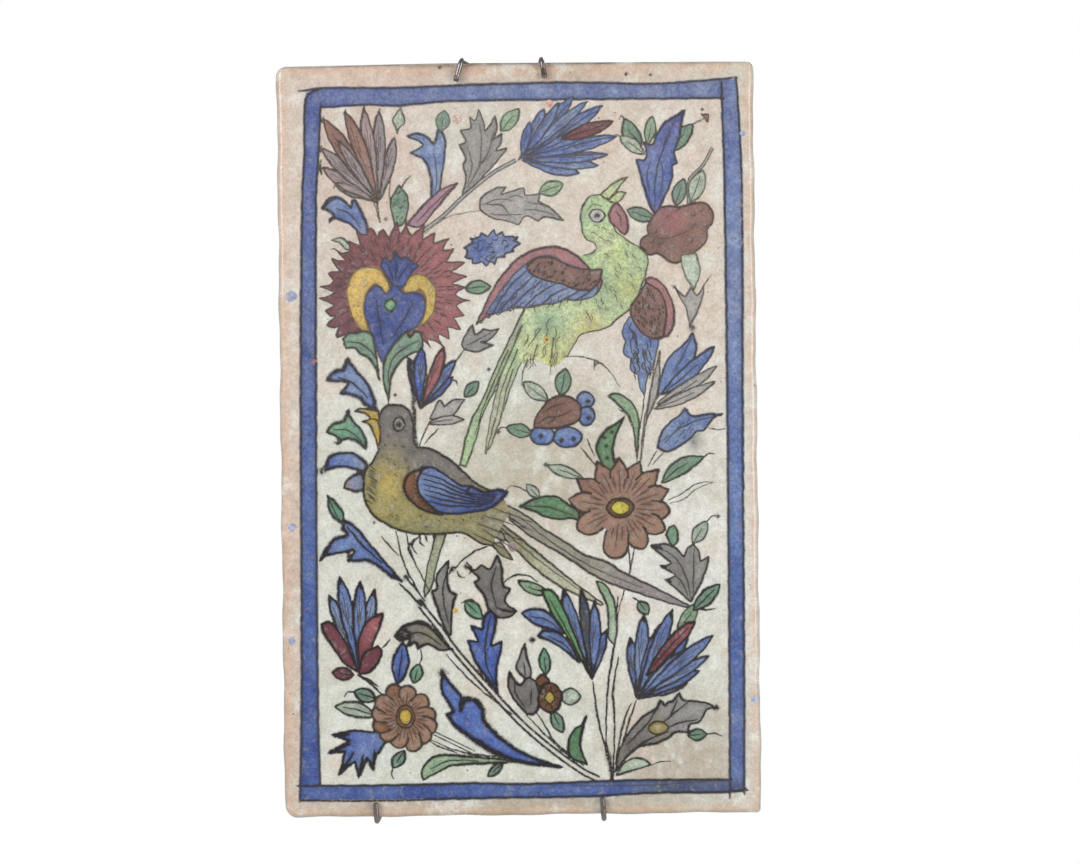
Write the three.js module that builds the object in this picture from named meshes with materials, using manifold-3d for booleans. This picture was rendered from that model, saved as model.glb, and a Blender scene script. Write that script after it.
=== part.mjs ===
// A hand-painted wall tile of glazed stonepaste, upright, held by a sprung wire hanger. Millimetres, +Z up.
// The painted face looks along -Y and the wall is on the +Y side.
// The origin is the point where a wall nail bears, under the crown of the hanger's top wire.
import * as THREE from "three";
import { mergeVertices } from "three/addons/utils/BufferGeometryUtils.js";
import Module from "manifold-3d";

// Tile
const TILE_WIDTH = 197;
const TILE_HEIGHT = 310;
const TILE_THICKNESS = 18;
const EDGE_ROLL = 3; // how far the glazed face rolls over into the sides
const SIDE_DRAFT = 2; // how much narrower each side is at the back, for the mortar
const BACK_CHAMFER = 0.8;
const CORNER_RADII = { topLeft: 4, topRight: 2.2, bottomRight: 1.8, bottomLeft: 5 };
const SHARPEST_CORNER = 0.4;

// Hanger wire
const WIRE_DIAMETER = 2.2;
const FIT_GAP = 0.3; // between touching pieces
const NAIL_DROP = 38; // from the tile's top edge down to the nail
const CROWN_FLAT = 2; // straight wire at the top of the crown, between its two bends
const CROWN_DEPTH = 25; // from the nail down to where the crown's legs flare
const EYE_DROP = 52; // from that flare down to the eyes that hold the springs
const EYE_FLAT = 1; // straight wire at the bottom of an eye, between its two bends
const LEFT_EYE_X = -33.5;
const RIGHT_EYE_X = 25.5;
const CROSSBAR_RISE = 105; // from the tile's bottom edge up to the bottom wire's crossbar
const CROSSBAR_LEFT_X = -46;
const CROSSBAR_RIGHT_X = 24;

// Bend radii of the wire's centre line
const HOOK_BEND = 2.5;
const EYE_BEND = 3;
const CROWN_BEND = 6;
const FLARE_BEND = 8;
const CROSSBAR_BEND = 5;

// The four hooks: where the wire leaves the back, where it turns onto the face, where it ends, and how
// far it reaches over the face. They are bent by hand, so no two are alike.
const HOOKS = {
  topLeft: { backX: -17.8, faceX: -21.7, endX: -24.3, reach: 7.4 },
  topRight: { backX: 10.5, faceX: 11.2, endX: 12.4, reach: 6.4 },
  bottomLeft: { backX: -60, faceX: -60.2, endX: -60.6, reach: 6.4 },
  bottomRight: { backX: 33.5, faceX: 33.2, endX: 32.6, reach: 7.5 },
};

// Springs
const COIL_DIAMETER = 6.5;
const COIL_WIRE_DIAMETER = 1;
const COIL_TO_BACK = 2.25; // between the coils and the tile's back
const SHANK_LENGTH = 3.6; // between a spring's end ring and its first turn
const LEFT_FOOT_INSET = 8; // from an end of the crossbar to the spring's ring on it
const RIGHT_FOOT_INSET = 7;
const SPRING_HOOK_TURN = 1.6 * Math.PI;

// Facets
const ROLL_STEPS = 5;
const CORNER_STEPS = 5;
const WIRE_SIDES = 10;
const SPRING_HOOK_SIDES = 8;
const COIL_SIDES = 16;
const BEND_STEP = Math.PI / 9;

const tileTop = TILE_HEIGHT / 2;
const tileBottom = -TILE_HEIGHT / 2;
const wireRadius = WIRE_DIAMETER / 2;
const wireClearance = FIT_GAP + wireRadius;
const backY = COIL_TO_BACK + COIL_DIAMETER / 2;
const faceY = -TILE_THICKNESS - wireClearance;
const nailZ = tileTop - NAIL_DROP;

const wasm = await Module();
wasm.setup();

const glaze = new THREE.MeshStandardMaterial({ color: 0xd9cdb9, roughness: 0.2, metalness: 0 });
const wireSteel = new THREE.MeshStandardMaterial({ color: 0x5b554d, roughness: 0.4, metalness: 0.9 });
const springSteel = new THREE.MeshStandardMaterial({ color: 0x8b8d90, roughness: 0.35, metalness: 0.95 });

function toSolid(geometry) {
  const bare = geometry.clone();
  bare.deleteAttribute("normal");
  bare.deleteAttribute("uv");
  const merged = mergeVertices(bare, 1e-3);
  return new wasm.Manifold(
    new wasm.Mesh({
      numProp: 3,
      vertProperties: merged.attributes.position.array,
      triVerts: new Uint32Array(merged.index.array),
    }),
  );
}

function toGeometry(solid) {
  const mesh = solid.getMesh();
  return new THREE.BufferGeometry()
    .setAttribute("position", new THREE.BufferAttribute(mesh.vertProperties, 3))
    .setIndex(new THREE.BufferAttribute(mesh.triVerts, 1));
}

// The tile's outline set in by `inset`, from the bottom left corner anticlockwise as seen on the painted face
function tileOutline(inset) {
  const right = TILE_WIDTH / 2 - inset;
  const top = tileTop - inset;
  const corners = [
    { x: -right, z: -top, radius: CORNER_RADII.bottomLeft, start: Math.PI },
    { x: right, z: -top, radius: CORNER_RADII.bottomRight, start: 1.5 * Math.PI },
    { x: right, z: top, radius: CORNER_RADII.topRight, start: 0 },
    { x: -right, z: top, radius: CORNER_RADII.topLeft, start: 0.5 * Math.PI },
  ];
  return corners.flatMap(({ x, z, radius, start }) => {
    const rounding = Math.max(radius - inset, SHARPEST_CORNER);
    const centreX = x - Math.sign(x) * rounding;
    const centreZ = z - Math.sign(z) * rounding;
    return Array.from({ length: CORNER_STEPS + 1 }, (_, step) => {
      const angle = start + (step / CORNER_STEPS) * (Math.PI / 2);
      return new THREE.Vector2(
        centreX + rounding * Math.cos(angle),
        centreZ + rounding * Math.sin(angle),
      );
    });
  });
}

// A closed skin through rings of equal length, from the back to the front, with a cap on each end
function loft(rings) {
  const count = rings[0].length;
  const positions = rings.flat().flatMap((point) => point.toArray());
  const faces = [];
  for (let ring = 0; ring < rings.length - 1; ring++) {
    for (let i = 0; i < count; i++) {
      const a = ring * count + i;
      const b = ring * count + ((i + 1) % count);
      faces.push(a, b, a + count, b, b + count, a + count);
    }
  }
  const flat = (ring) => ring.map((point) => new THREE.Vector2(point.x, point.z));
  for (const [a, b, c] of THREE.ShapeUtils.triangulateShape(flat(rings[0]), [])) {
    faces.push(a, c, b);
  }
  const front = (rings.length - 1) * count;
  for (const [a, b, c] of THREE.ShapeUtils.triangulateShape(flat(rings.at(-1)), [])) {
    faces.push(front + a, front + b, front + c);
  }
  const geometry = new THREE.BufferGeometry();
  geometry.setAttribute("position", new THREE.Float32BufferAttribute(positions, 3));
  geometry.setIndex(faces);
  return geometry;
}

function tileBody() {
  const sections = [
    { y: 0, inset: SIDE_DRAFT + BACK_CHAMFER },
    { y: -BACK_CHAMFER, inset: SIDE_DRAFT },
  ];
  for (let step = 0; step <= ROLL_STEPS; step++) {
    const angle = (step / ROLL_STEPS) * (Math.PI / 2);
    sections.push({
      y: -(TILE_THICKNESS - EDGE_ROLL) - EDGE_ROLL * Math.sin(angle),
      inset: EDGE_ROLL * (1 - Math.cos(angle)),
    });
  }
  return loft(
    sections.map(({ y, inset }) => tileOutline(inset).map((p) => new THREE.Vector3(p.x, y, p.y))),
  );
}

// A path through fixed stations, so that bends get short steps and straight runs get long ones
class WirePath extends THREE.Curve {
  constructor(stations) {
    super();
    this.stations = stations;
  }
  getPoint(t, target = new THREE.Vector3()) {
    const place = Math.min(Math.max(t, 0), 1) * (this.stations.length - 1);
    const index = Math.min(Math.floor(place), this.stations.length - 2);
    return target.lerpVectors(this.stations[index], this.stations[index + 1], place - index);
  }
  getUtoTmapping(u) {
    return u;
  }
}

// Corner points joined by straight runs, each inner corner rounded to its own bend radius
function roundedPath(corners) {
  const stations = [corners[0].at];
  for (let i = 1; i < corners.length - 1; i++) {
    const { at, bend } = corners[i];
    const toBefore = corners[i - 1].at.clone().sub(at).normalize();
    const toAfter = corners[i + 1].at.clone().sub(at).normalize();
    const halfAngle = toBefore.angleTo(toAfter) / 2;
    const middle = toBefore.clone().add(toAfter).normalize();
    const centre = at.clone().addScaledVector(middle, bend / Math.sin(halfAngle));
    const start = at.clone().addScaledVector(toBefore, bend / Math.tan(halfAngle)).sub(centre);
    const axis = new THREE.Vector3().crossVectors(toAfter, toBefore).normalize();
    const sweep = Math.PI - 2 * halfAngle;
    const steps = Math.max(1, Math.ceil(sweep / BEND_STEP));
    for (let step = 0; step <= steps; step++) {
      const turned = start.clone().applyAxisAngle(axis, (step / steps) * sweep);
      stations.push(turned.add(centre));
    }
  }
  stations.push(corners.at(-1).at);
  return new WirePath(stations);
}

function roundBar(path, radius, sides) {
  const section = new THREE.Shape(
    Array.from({ length: sides }, (_, side) => {
      const angle = (side / sides) * 2 * Math.PI;
      return new THREE.Vector2(radius * Math.cos(angle), radius * Math.sin(angle));
    }),
  );
  return new THREE.ExtrudeGeometry(section, {
    steps: path.stations.length - 1,
    extrudePath: path,
    bevelEnabled: false,
  });
}

const corner = (x, y, z, bend = 0) => ({ at: new THREE.Vector3(x, y, z), bend });

// A hook's corners, from its cut end on the face to the bend behind the edge. `side` is 1 at the top
// edge and -1 at the bottom edge.
function hookCorners({ backX, faceX, endX, reach }, side) {
  const edgeZ = side * (TILE_HEIGHT / 2 + wireClearance);
  return [
    corner(endX, faceY, side * (TILE_HEIGHT / 2 - reach)),
    corner(faceX, faceY, edgeZ, HOOK_BEND),
    corner(backX, backY, edgeZ, HOOK_BEND),
  ];
}

const eyeZ = nailZ - CROWN_DEPTH - EYE_DROP;
const crossbarZ = tileBottom + CROSSBAR_RISE;

function topWire() {
  const crownZ = nailZ + wireRadius;
  const crownX = CROWN_FLAT / 2 + CROWN_BEND;
  const flareZ = nailZ - CROWN_DEPTH;
  const eyeHalf = EYE_FLAT / 2 + EYE_BEND;
  const eye = (x) => [
    corner(x - eyeHalf, backY, eyeZ, EYE_BEND),
    corner(x + eyeHalf, backY, eyeZ, EYE_BEND),
  ];
  return roundedPath([
    ...hookCorners(HOOKS.topLeft, 1),
    ...eye(LEFT_EYE_X),
    corner(-crownX, backY, flareZ, FLARE_BEND),
    corner(-crownX, backY, crownZ, CROWN_BEND),
    corner(crownX, backY, crownZ, CROWN_BEND),
    corner(crownX, backY, flareZ, FLARE_BEND),
    ...eye(RIGHT_EYE_X),
    ...hookCorners(HOOKS.topRight, 1).reverse(),
  ]);
}

function bottomWire() {
  return roundedPath([
    ...hookCorners(HOOKS.bottomLeft, -1),
    corner(CROSSBAR_LEFT_X, backY, crossbarZ, CROSSBAR_BEND),
    corner(CROSSBAR_RIGHT_X, backY, crossbarZ, CROSSBAR_BEND),
    ...hookCorners(HOOKS.bottomRight, -1).reverse(),
  ]);
}

const ringRadius = wireClearance + COIL_WIRE_DIAMETER / 2;

// The open ring at a spring's end, round the hanger wire at `wireCentre`, with its shank running into the coil
function springHook(wireCentre, coilEnd, towardsCoil) {
  const steps = Math.ceil(SPRING_HOOK_TURN / BEND_STEP);
  const stations = [];
  for (let step = steps; step >= 0; step--) {
    const angle = (step / steps) * SPRING_HOOK_TURN;
    stations.push(
      new THREE.Vector3(
        wireCentre.x,
        wireCentre.y + ringRadius * Math.sin(angle),
        wireCentre.z + towardsCoil * ringRadius * Math.cos(angle),
      ),
    );
  }
  stations.push(coilEnd);
  return roundBar(new WirePath(stations), COIL_WIRE_DIAMETER / 2, SPRING_HOOK_SIDES);
}

// A stretched coil spring between two hanger wires. Its coil is one round bar of the coil's outer diameter.
function spring(eyeX, footX) {
  const upper = new THREE.Vector3(eyeX, backY, eyeZ);
  const lower = new THREE.Vector3(footX, backY, crossbarZ);
  const along = upper.clone().sub(lower).normalize();
  const setback = ringRadius + COIL_WIRE_DIAMETER / 2 + SHANK_LENGTH;
  const coilTop = upper.clone().addScaledVector(along, -setback);
  const coilBottom = lower.clone().addScaledVector(along, setback);
  const length = coilTop.distanceTo(coilBottom);
  const coil = new THREE.CylinderGeometry(COIL_DIAMETER / 2, COIL_DIAMETER / 2, length, COIL_SIDES);
  coil.applyQuaternion(new THREE.Quaternion().setFromUnitVectors(new THREE.Vector3(0, 1, 0), along));
  const middle = coilTop.clone().add(coilBottom).multiplyScalar(0.5);
  coil.translate(middle.x, middle.y, middle.z);
  const seat = COIL_WIRE_DIAMETER; // how far each shank runs into the coil
  const solid = toSolid(coil)
    .add(toSolid(springHook(upper, coilTop.clone().addScaledVector(along, -seat), -1)))
    .add(toSolid(springHook(lower, coilBottom.clone().addScaledVector(along, seat), 1)));
  return toGeometry(solid);
}

function piece(name, geometry, material) {
  const mesh = new THREE.Mesh(geometry, material);
  mesh.name = name;
  return mesh;
}

const leftFootX = CROSSBAR_LEFT_X + LEFT_FOOT_INSET;
const rightFootX = CROSSBAR_RIGHT_X - RIGHT_FOOT_INSET;

const hanger = new THREE.Group();
hanger.add(
  piece("hanger_top_wire", roundBar(topWire(), wireRadius, WIRE_SIDES), wireSteel),
  piece("hanger_bottom_wire", roundBar(bottomWire(), wireRadius, WIRE_SIDES), wireSteel),
  piece("hanger_spring_left", spring(LEFT_EYE_X, leftFootX), springSteel),
  piece("hanger_spring_right", spring(RIGHT_EYE_X, rightFootX), springSteel),
);

const hungTile = new THREE.Group();
hungTile.add(piece("tile", tileBody(), glaze), hanger);
hungTile.position.set(0, -backY, -nailZ);

export default hungTile;
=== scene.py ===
# %% [markdown]
# # A painted wall tile in a sprung wire hanger
# The object is one slab of white stonepaste, painted with birds and flowers under a clear glaze, held
# upright by two bent steel wires that two coil springs pull together behind it. The imported CAD model gives
# the frame: every piece made here lies where its CAD node lies, and takes its place in the looks.

# %% The imported model
import math
import random

import bpy
import numpy as np
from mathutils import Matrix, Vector
from mathutils.geometry import delaunay_2d_cdt


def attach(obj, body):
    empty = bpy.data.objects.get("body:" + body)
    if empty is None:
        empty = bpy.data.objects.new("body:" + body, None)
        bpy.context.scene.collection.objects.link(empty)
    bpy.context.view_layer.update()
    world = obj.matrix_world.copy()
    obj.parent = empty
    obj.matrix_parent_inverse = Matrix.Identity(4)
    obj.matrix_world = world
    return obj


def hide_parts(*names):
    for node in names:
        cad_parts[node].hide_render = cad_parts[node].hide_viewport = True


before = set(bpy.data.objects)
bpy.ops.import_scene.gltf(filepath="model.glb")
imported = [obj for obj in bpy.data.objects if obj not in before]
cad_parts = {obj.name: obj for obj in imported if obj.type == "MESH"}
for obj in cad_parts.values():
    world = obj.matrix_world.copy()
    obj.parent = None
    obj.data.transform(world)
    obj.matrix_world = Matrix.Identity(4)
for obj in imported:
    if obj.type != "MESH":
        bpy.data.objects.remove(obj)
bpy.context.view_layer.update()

MM = 0.001
TILE_WIDTH, TILE_HEIGHT, TILE_THICKNESS = 197, 310, 18
EDGE_ROLL, SIDE_DRAFT, BACK_CHAMFER = 3, 2, 0.8
BACK_Y = -5.5  # the tile's back
FACE_Y = BACK_Y - TILE_THICKNESS  # its painted face
MIDDLE_Z = -117  # its middle, below the nail


def place(u, v, y):
    """A point of the tile's face, u to the right and v up from its middle, at depth y, in metres."""
    return Vector((u * MM, y * MM, (v + MIDDLE_Z) * MM))


def pick_only(thing):
    """Deselect everything, then select one object and make it the active one."""
    bpy.ops.object.select_all(action="DESELECT")
    thing.select_set(True)
    bpy.context.view_layer.objects.active = thing


def count(thing):
    """Print how many faces a piece has, and how big it is in millimetres."""
    size = [round(side / MM, 1) for side in thing.dimensions]
    print(f"{thing.name}: {len(thing.data.polygons)} faces, {size} mm")


# %% [markdown]
# ## Shader sums
# Every finish below is worked out by shader nodes. Wiring them by hand hides the thought behind them, so
# one small class wraps a node's output and takes the ordinary signs for sums, and one more class makes the
# nodes.

# %% Shader sums
class Value:
    """One output of a node, which ordinary signs can add, subtract, multiply and divide."""

    def __init__(self, finish, socket):
        self.finish, self.socket = finish, socket

    def __add__(self, other):
        return self.finish.sum("ADD", self, other)

    def __radd__(self, other):
        return self.finish.sum("ADD", other, self)

    def __sub__(self, other):
        return self.finish.sum("SUBTRACT", self, other)

    def __rsub__(self, other):
        return self.finish.sum("SUBTRACT", other, self)

    def __mul__(self, other):
        return self.finish.sum("MULTIPLY", self, other)

    def __rmul__(self, other):
        return self.finish.sum("MULTIPLY", other, self)

    def __truediv__(self, other):
        return self.finish.sum("DIVIDE", self, other)

    def __rtruediv__(self, other):
        return self.finish.sum("DIVIDE", other, self)


class Finish:
    """A material with one Principled shader, and short ways to make the nodes that feed it."""

    def __init__(self, name):
        self.material = bpy.data.materials.new(name)
        self.material.use_nodes = True
        self.tree = self.material.node_tree
        self.shader = self.tree.nodes["Principled BSDF"]
        self.here = self.node("ShaderNodeTexCoord", out="Object")

    def put(self, value, socket):
        """Link an output to the socket, or set a plain value on it."""
        if isinstance(value, Value):
            self.tree.links.new(value.socket, socket)
        else:
            socket.default_value = value

    def node(self, kind, settings=None, inputs=None, out=0):
        """Any node: its type, its settings, the values or links of its sockets, and the output wanted."""
        node = self.tree.nodes.new(kind)
        for name, setting in (settings or {}).items():
            setattr(node, name, setting)
        for name, value in (inputs or {}).items():
            self.put(value, node.inputs[name])
        return Value(self, node.outputs[out])

    def sum(self, operation, *values):
        """One sum on numbers."""
        return self.node("ShaderNodeMath", {"operation": operation}, dict(enumerate(values)))

    def vector(self, operation, *values):
        """One sum on places or directions."""
        return self.node("ShaderNodeVectorMath", {"operation": operation}, dict(enumerate(values)))

    def mix(self, factor, first, second, blend="MIX"):
        """Two colours mixed. A plain colour is three numbers."""
        first, second = (c if isinstance(c, Value) else (*c, 1) for c in (first, second))
        return self.node("ShaderNodeMix", {"data_type": "RGBA", "blend_type": blend},
                         {0: factor, 6: first, 7: second}, out=2)

    def step(self, value, low, high, to_low=0.0, to_high=1.0):
        """A soft step from to_low to to_high while value goes from low to high."""
        return self.node("ShaderNodeMapRange", {"interpolation_type": "SMOOTHSTEP"},
                         {0: value, 1: low, 2: high, 3: to_low, 4: to_high})

    def noise(self, millimetres, detail=3, rough=0.55, at=None):
        """Cloudy noise around 0.5, whose blots are about this many millimetres across."""
        return self.node("ShaderNodeTexNoise", None, {
            "Vector": at or self.here, "Scale": 1 / (millimetres * MM), "Detail": detail, "Roughness": rough})

    def cells(self, millimetres):
        """How far the nearest of many scattered spots is. They lie about this many millimetres apart."""
        return self.node("ShaderNodeTexVoronoi", {"feature": "F1"}, {
            "Vector": self.here, "Scale": 1 / (millimetres * MM)}, out="Distance")

    def bump(self, height, strength, distance):
        """A bump of this height in metres."""
        return self.node("ShaderNodeBump", None, {
            "Height": height, "Strength": strength, "Distance": distance}, out="Normal")

    def set(self, **inputs):
        """Feed the Principled shader. base_color means its Base Color socket, and so on."""
        for name, value in inputs.items():
            self.put(value, self.shader.inputs[name.replace("_", " ").title()])
        return self.material


def paint_colour(red, green, blue):
    """A colour given as it looks, 0 to 255, as the light it gives back."""
    def light(part):
        part /= 255
        return part / 12.92 if part <= 0.04045 else ((part + 0.055) / 1.055) ** 2.4
    return light(red), light(green), light(blue)


# %% [markdown]
# ## The hanger's steel
# The wires are cold-drawn steel that has dulled to a warm dark grey, with rubbed bright places. Drawing the
# wire through a die leaves fine lines along it, and storage leaves small brown stains. The springs are of
# newer, brighter wire. Both are metal with a roughness that noise varies, and a very shallow bump.

# %% The hanger's steel
def steel(name, colour, stain, stained, dull):
    finish = Finish(name)
    clouds = finish.noise(6, detail=4)
    specks = finish.noise(0.5, detail=3)
    scratches = finish.noise(0.22, detail=2, at=finish.vector("MULTIPLY", finish.here, (1.0, 1.0, 0.12)))
    rust = finish.step(clouds + specks * 0.35, 0.70 - stained, 0.86 - stained)
    worn = finish.mix(finish.step(scratches, 0.35, 0.7), colour, tuple(min(1, c * 1.45) for c in colour))
    return finish.set(
        base_color=finish.mix(rust, worn, stain),
        metallic=1.0 - rust * 0.75,
        roughness=dull + rust * 0.35 + (scratches - 0.5) * 0.25,
        normal=finish.bump(scratches + specks * 0.5, 0.35, 0.00003))


wire_steel = steel("hanger_wire", paint_colour(128, 120, 118), paint_colour(70, 52, 44), -0.02, 0.3)
spring_steel = steel("spring_steel", paint_colour(186, 186, 188), paint_colour(98, 76, 60), -0.03, 0.27)

# %% [markdown]
# ## The hanger's wires
# Each wire is one length of 2.2 mm steel, bent on pins. A route of corner points with a bend radius at each
# is the way a bender reads a drawing, so the same is done here: the corners are rounded into arcs, a curve
# is run through them and given its thickness, and the curve is turned into a mesh. The cut ends are filed a
# little.

# %% The hanger's wires
WIRE_DIAMETER = 2.2
CLEAR = WIRE_DIAMETER / 2 + 0.3  # from the wire's centre line to the tile
FILED_LENGTH, FILED_TIP = 0.35, 0.72  # how far a cut end is filed, and what share of its width is left
HOOK_Y = FACE_Y - CLEAR
EYE_Z, CROSSBAR_Z = -77, -167
LEFT_EYE_X, RIGHT_EYE_X = -33.5, 25.5
LEFT_FOOT_X, RIGHT_FOOT_X = -38, 17


def rounded(corners):
    """Corner points (x, y, z, bend radius) joined by straight runs and arcs of short steps."""
    step = math.radians(9)
    stations = [Vector(corners[0][:3])]
    for before, (*at, bend), after in zip(corners, corners[1:], corners[2:]):
        at = Vector(at)
        back, on = (Vector(before[:3]) - at).normalized(), (Vector(after[:3]) - at).normalized()
        half = back.angle(on) / 2
        centre = at + (back + on).normalized() * bend / math.sin(half)
        arm = at + back * bend / math.tan(half) - centre
        side = at + on * bend / math.tan(half) - centre
        sweep = math.pi - 2 * half
        steps = max(2, math.ceil(sweep / step))
        for i in range(steps + 1):
            t = i / steps
            turned = arm * math.sin((1 - t) * sweep) + side * math.sin(t * sweep)
            stations.append(centre + turned / math.sin(sweep))
    return stations + [Vector(corners[-1][:3])]


def round_wire(name, stations, diameter, sides_setting, material, filed=True):
    """A round wire along the stations, in millimetres, as one closed mesh."""
    points = [(p, 1.0) for p in stations]
    if filed:
        ends = [((tip, FILED_TIP), (tip + (inner - tip).normalized() * FILED_LENGTH, 1.0))
                for tip, inner in ((stations[0], stations[1]), (stations[-1], stations[-2]))]
        points = [*ends[0], *points[1:-1], *ends[1][::-1]]
    curve = bpy.data.curves.new(name, "CURVE")
    curve.dimensions = "3D"
    curve.bevel_depth = diameter / 2 * MM
    curve.bevel_resolution = sides_setting
    curve.use_fill_caps = True
    spline = curve.splines.new("POLY")
    spline.points.add(len(points) - 1)
    for point, (at, radius) in zip(spline.points, points):
        point.co = (*(at * MM), 1)
        point.radius = radius
    wire = bpy.data.objects.new(name, curve)
    bpy.context.collection.objects.link(wire)
    pick_only(wire)
    bpy.ops.object.convert(target="MESH")
    wire = bpy.context.active_object
    bpy.ops.object.mode_set(mode="EDIT")
    bpy.ops.mesh.select_all(action="SELECT")
    bpy.ops.mesh.remove_doubles(threshold=0.000001)
    bpy.ops.mesh.normals_make_consistent(inside=False)
    bpy.ops.object.mode_set(mode="OBJECT")
    bpy.ops.object.shade_smooth_by_angle(angle=math.radians(40))
    wire.data.materials.clear()
    wire.data.materials.append(material)
    return wire


def hook(back_x, face_x, end_x, reach, side):
    """A hook's corners from its cut end on the face to the bend behind the tile's edge."""
    edge = side * (TILE_HEIGHT / 2 + CLEAR) + MIDDLE_Z
    tip = side * (TILE_HEIGHT / 2 - reach) + MIDDLE_Z
    return [(end_x, HOOK_Y, tip, 0), (face_x, HOOK_Y, edge, 2.5), (back_x, 0, edge, 2.5)]


def eye(x):
    """The two corners of the bend that a spring's ring hooks into."""
    return [(x - 3.5, 0, EYE_Z, 3), (x + 3.5, 0, EYE_Z, 3)]


top_route = rounded([
    *hook(-17.8, -21.7, -24.3, 7.4, 1), *eye(LEFT_EYE_X),
    (-7, 0, -25, 8), (-7, 0, 1.1, 6), (7, 0, 1.1, 6), (7, 0, -25, 8),
    *eye(RIGHT_EYE_X), *hook(10.5, 11.2, 12.4, 6.4, 1)[::-1]])
bottom_route = rounded([
    *hook(-60, -60.2, -60.6, 6.4, -1), (-46, 0, CROSSBAR_Z, 5), (24, 0, CROSSBAR_Z, 5),
    *hook(33.5, 33.2, 32.6, 7.5, -1)[::-1]])
top_wire = round_wire("top_wire", top_route, WIRE_DIAMETER, 4, wire_steel)
bottom_wire = round_wire("bottom_wire", bottom_route, WIRE_DIAMETER, 4, wire_steel)
for wire, node in ((top_wire, "hanger_top_wire"), (bottom_wire, "hanger_bottom_wire")):
    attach(wire, "root")
    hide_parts(node)
    count(wire)

# %% [markdown]
# ## The springs
# An extension spring is one wire: a ring at its end, a short shank, then the turns, which stand a little
# apart because the spring is stretched. A Screw modifier would make only the turns, so the whole wire is
# worked out as one route: ring, shank, a turn that widens to the coil's size, the helix, and the same
# again.

# %% The springs
COIL_DIAMETER, COIL_WIRE, SHANK = 6.5, 1.0, 3.6
COIL_PITCH = 1.28
RING = CLEAR + COIL_WIRE / 2


def spring_route(eye_x, foot_x):
    """The whole wire of one spring, as stations from the ring in the eye to the ring on the crossbar."""
    top, foot = Vector((eye_x, 0, EYE_Z)), Vector((foot_x, 0, CROSSBAR_Z))
    down = (foot - top).normalized()
    side = Vector((0, 1, 0))
    across = down.cross(side)
    setback = RING + COIL_WIRE / 2 + SHANK
    length = (foot - top).length - 2 * setback
    wide = (COIL_DIAMETER - COIL_WIRE) / 2
    turns = round(length / COIL_PITCH)
    per_turn = 12

    def end_ring(centre, towards):
        steps = 16
        ring = []
        for i in range(steps, -1, -1):
            angle = i / steps * 1.6 * math.pi
            rise = Vector((0, 0, towards * RING * math.cos(angle)))
            ring.append(centre + side * RING * math.sin(angle) + rise)
        return ring

    route = end_ring(top, -1)
    for i in range(turns * per_turn + 1):
        t = i / per_turn
        grow = min(1, (t + 0.15) / 0.9, (turns - t + 0.15) / 0.9)
        angle = t * 2 * math.pi
        radius = wide * math.sin(grow * math.pi / 2)
        route.append(top + down * (setback + t / turns * length)
                     + (across * math.cos(angle) + side * math.sin(angle)) * radius)
    return route + end_ring(foot, 1)[::-1]


for name, eye_x, foot_x in (("left", LEFT_EYE_X, LEFT_FOOT_X), ("right", RIGHT_EYE_X, RIGHT_FOOT_X)):
    coil = round_wire(f"spring_{name}", spring_route(eye_x, foot_x), COIL_WIRE, 1, spring_steel, filed=False)
    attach(coil, "root")
    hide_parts(f"hanger_spring_{name}")
    count(coil)

# %% [markdown]
# ## Drawing on the tile
# What is painted is only colour, so nothing of it is raised. The tile's face is cut into small triangles
# whose edges follow every brush line. Each corner of a triangle then stores what colour of glaze paint and
# how much ink lies there. A line is three rows of corners: full ink on its middle, none on its two sides.
# All shapes are drawn by a few brush functions from a handful of points each, in millimetres from the
# tile's middle.

# %% The outline of the tile's face
CORNERS = ((-1, -1, 5), (1, -1, 1.8), (1, 1, 2.2), (-1, 1, 4))  # which corner, and its radius
RIM_SPACING = 3.0  # between points of the outline
RIM_RINGS = (0, 0.18, 0.6, 1.2, 2.0, EDGE_ROLL)  # how far inside the outline the rolled edge has its rows


def face_outline(inset):
    """The tile's outline set in by `inset`, anticlockwise from the bottom left, as (u, v) pairs."""
    points = []
    for number, (right, up, radius) in enumerate(CORNERS):
        turn = max(radius - inset, 0.4)
        middle = (right * (TILE_WIDTH / 2 - inset - turn), up * (TILE_HEIGHT / 2 - inset - turn))
        for i in range(7):
            angle = math.pi + number * math.pi / 2 + i / 6 * math.pi / 2
            points.append((middle[0] + turn * math.cos(angle), middle[1] + turn * math.sin(angle)))
    outline = []
    for a, b in zip(points, points[1:] + points[:1]):
        parts = max(1, round(math.dist(a, b) / RIM_SPACING))
        outline += [(a[0] + (b[0] - a[0]) * i / parts, a[1] + (b[1] - a[1]) * i / parts)
                    for i in range(parts)]
    return outline


def inset_of(u, v):
    """How far inside the tile's outline each point lies, for whole arrays."""
    inside = np.minimum(TILE_WIDTH / 2 - np.abs(u), TILE_HEIGHT / 2 - np.abs(v))
    for right, up, radius in CORNERS:
        cu, cv = right * (TILE_WIDTH / 2 - radius), up * (TILE_HEIGHT / 2 - radius)
        near = (u * right > cu * right) & (v * up > cv * up)
        inside = np.where(near, np.minimum(inside, radius - np.hypot(u - cu, v - cv)), inside)
    return np.maximum(inside, 0)


# %% [markdown]
# ## The painter's colours
# The palette is small: cobalt blue, manganese violet that fires to maroon and brown, copper green, and an
# ochre yellow, each thinned to paler washes. Each colour here is how it looks, 0 to 255, then how much of
# it is specked cobalt and how much is stippled maroon, because those two pigments stay grainy under the
# glaze. The names that begin with slip are tints of the bare ground, which fired unevenly.

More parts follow.
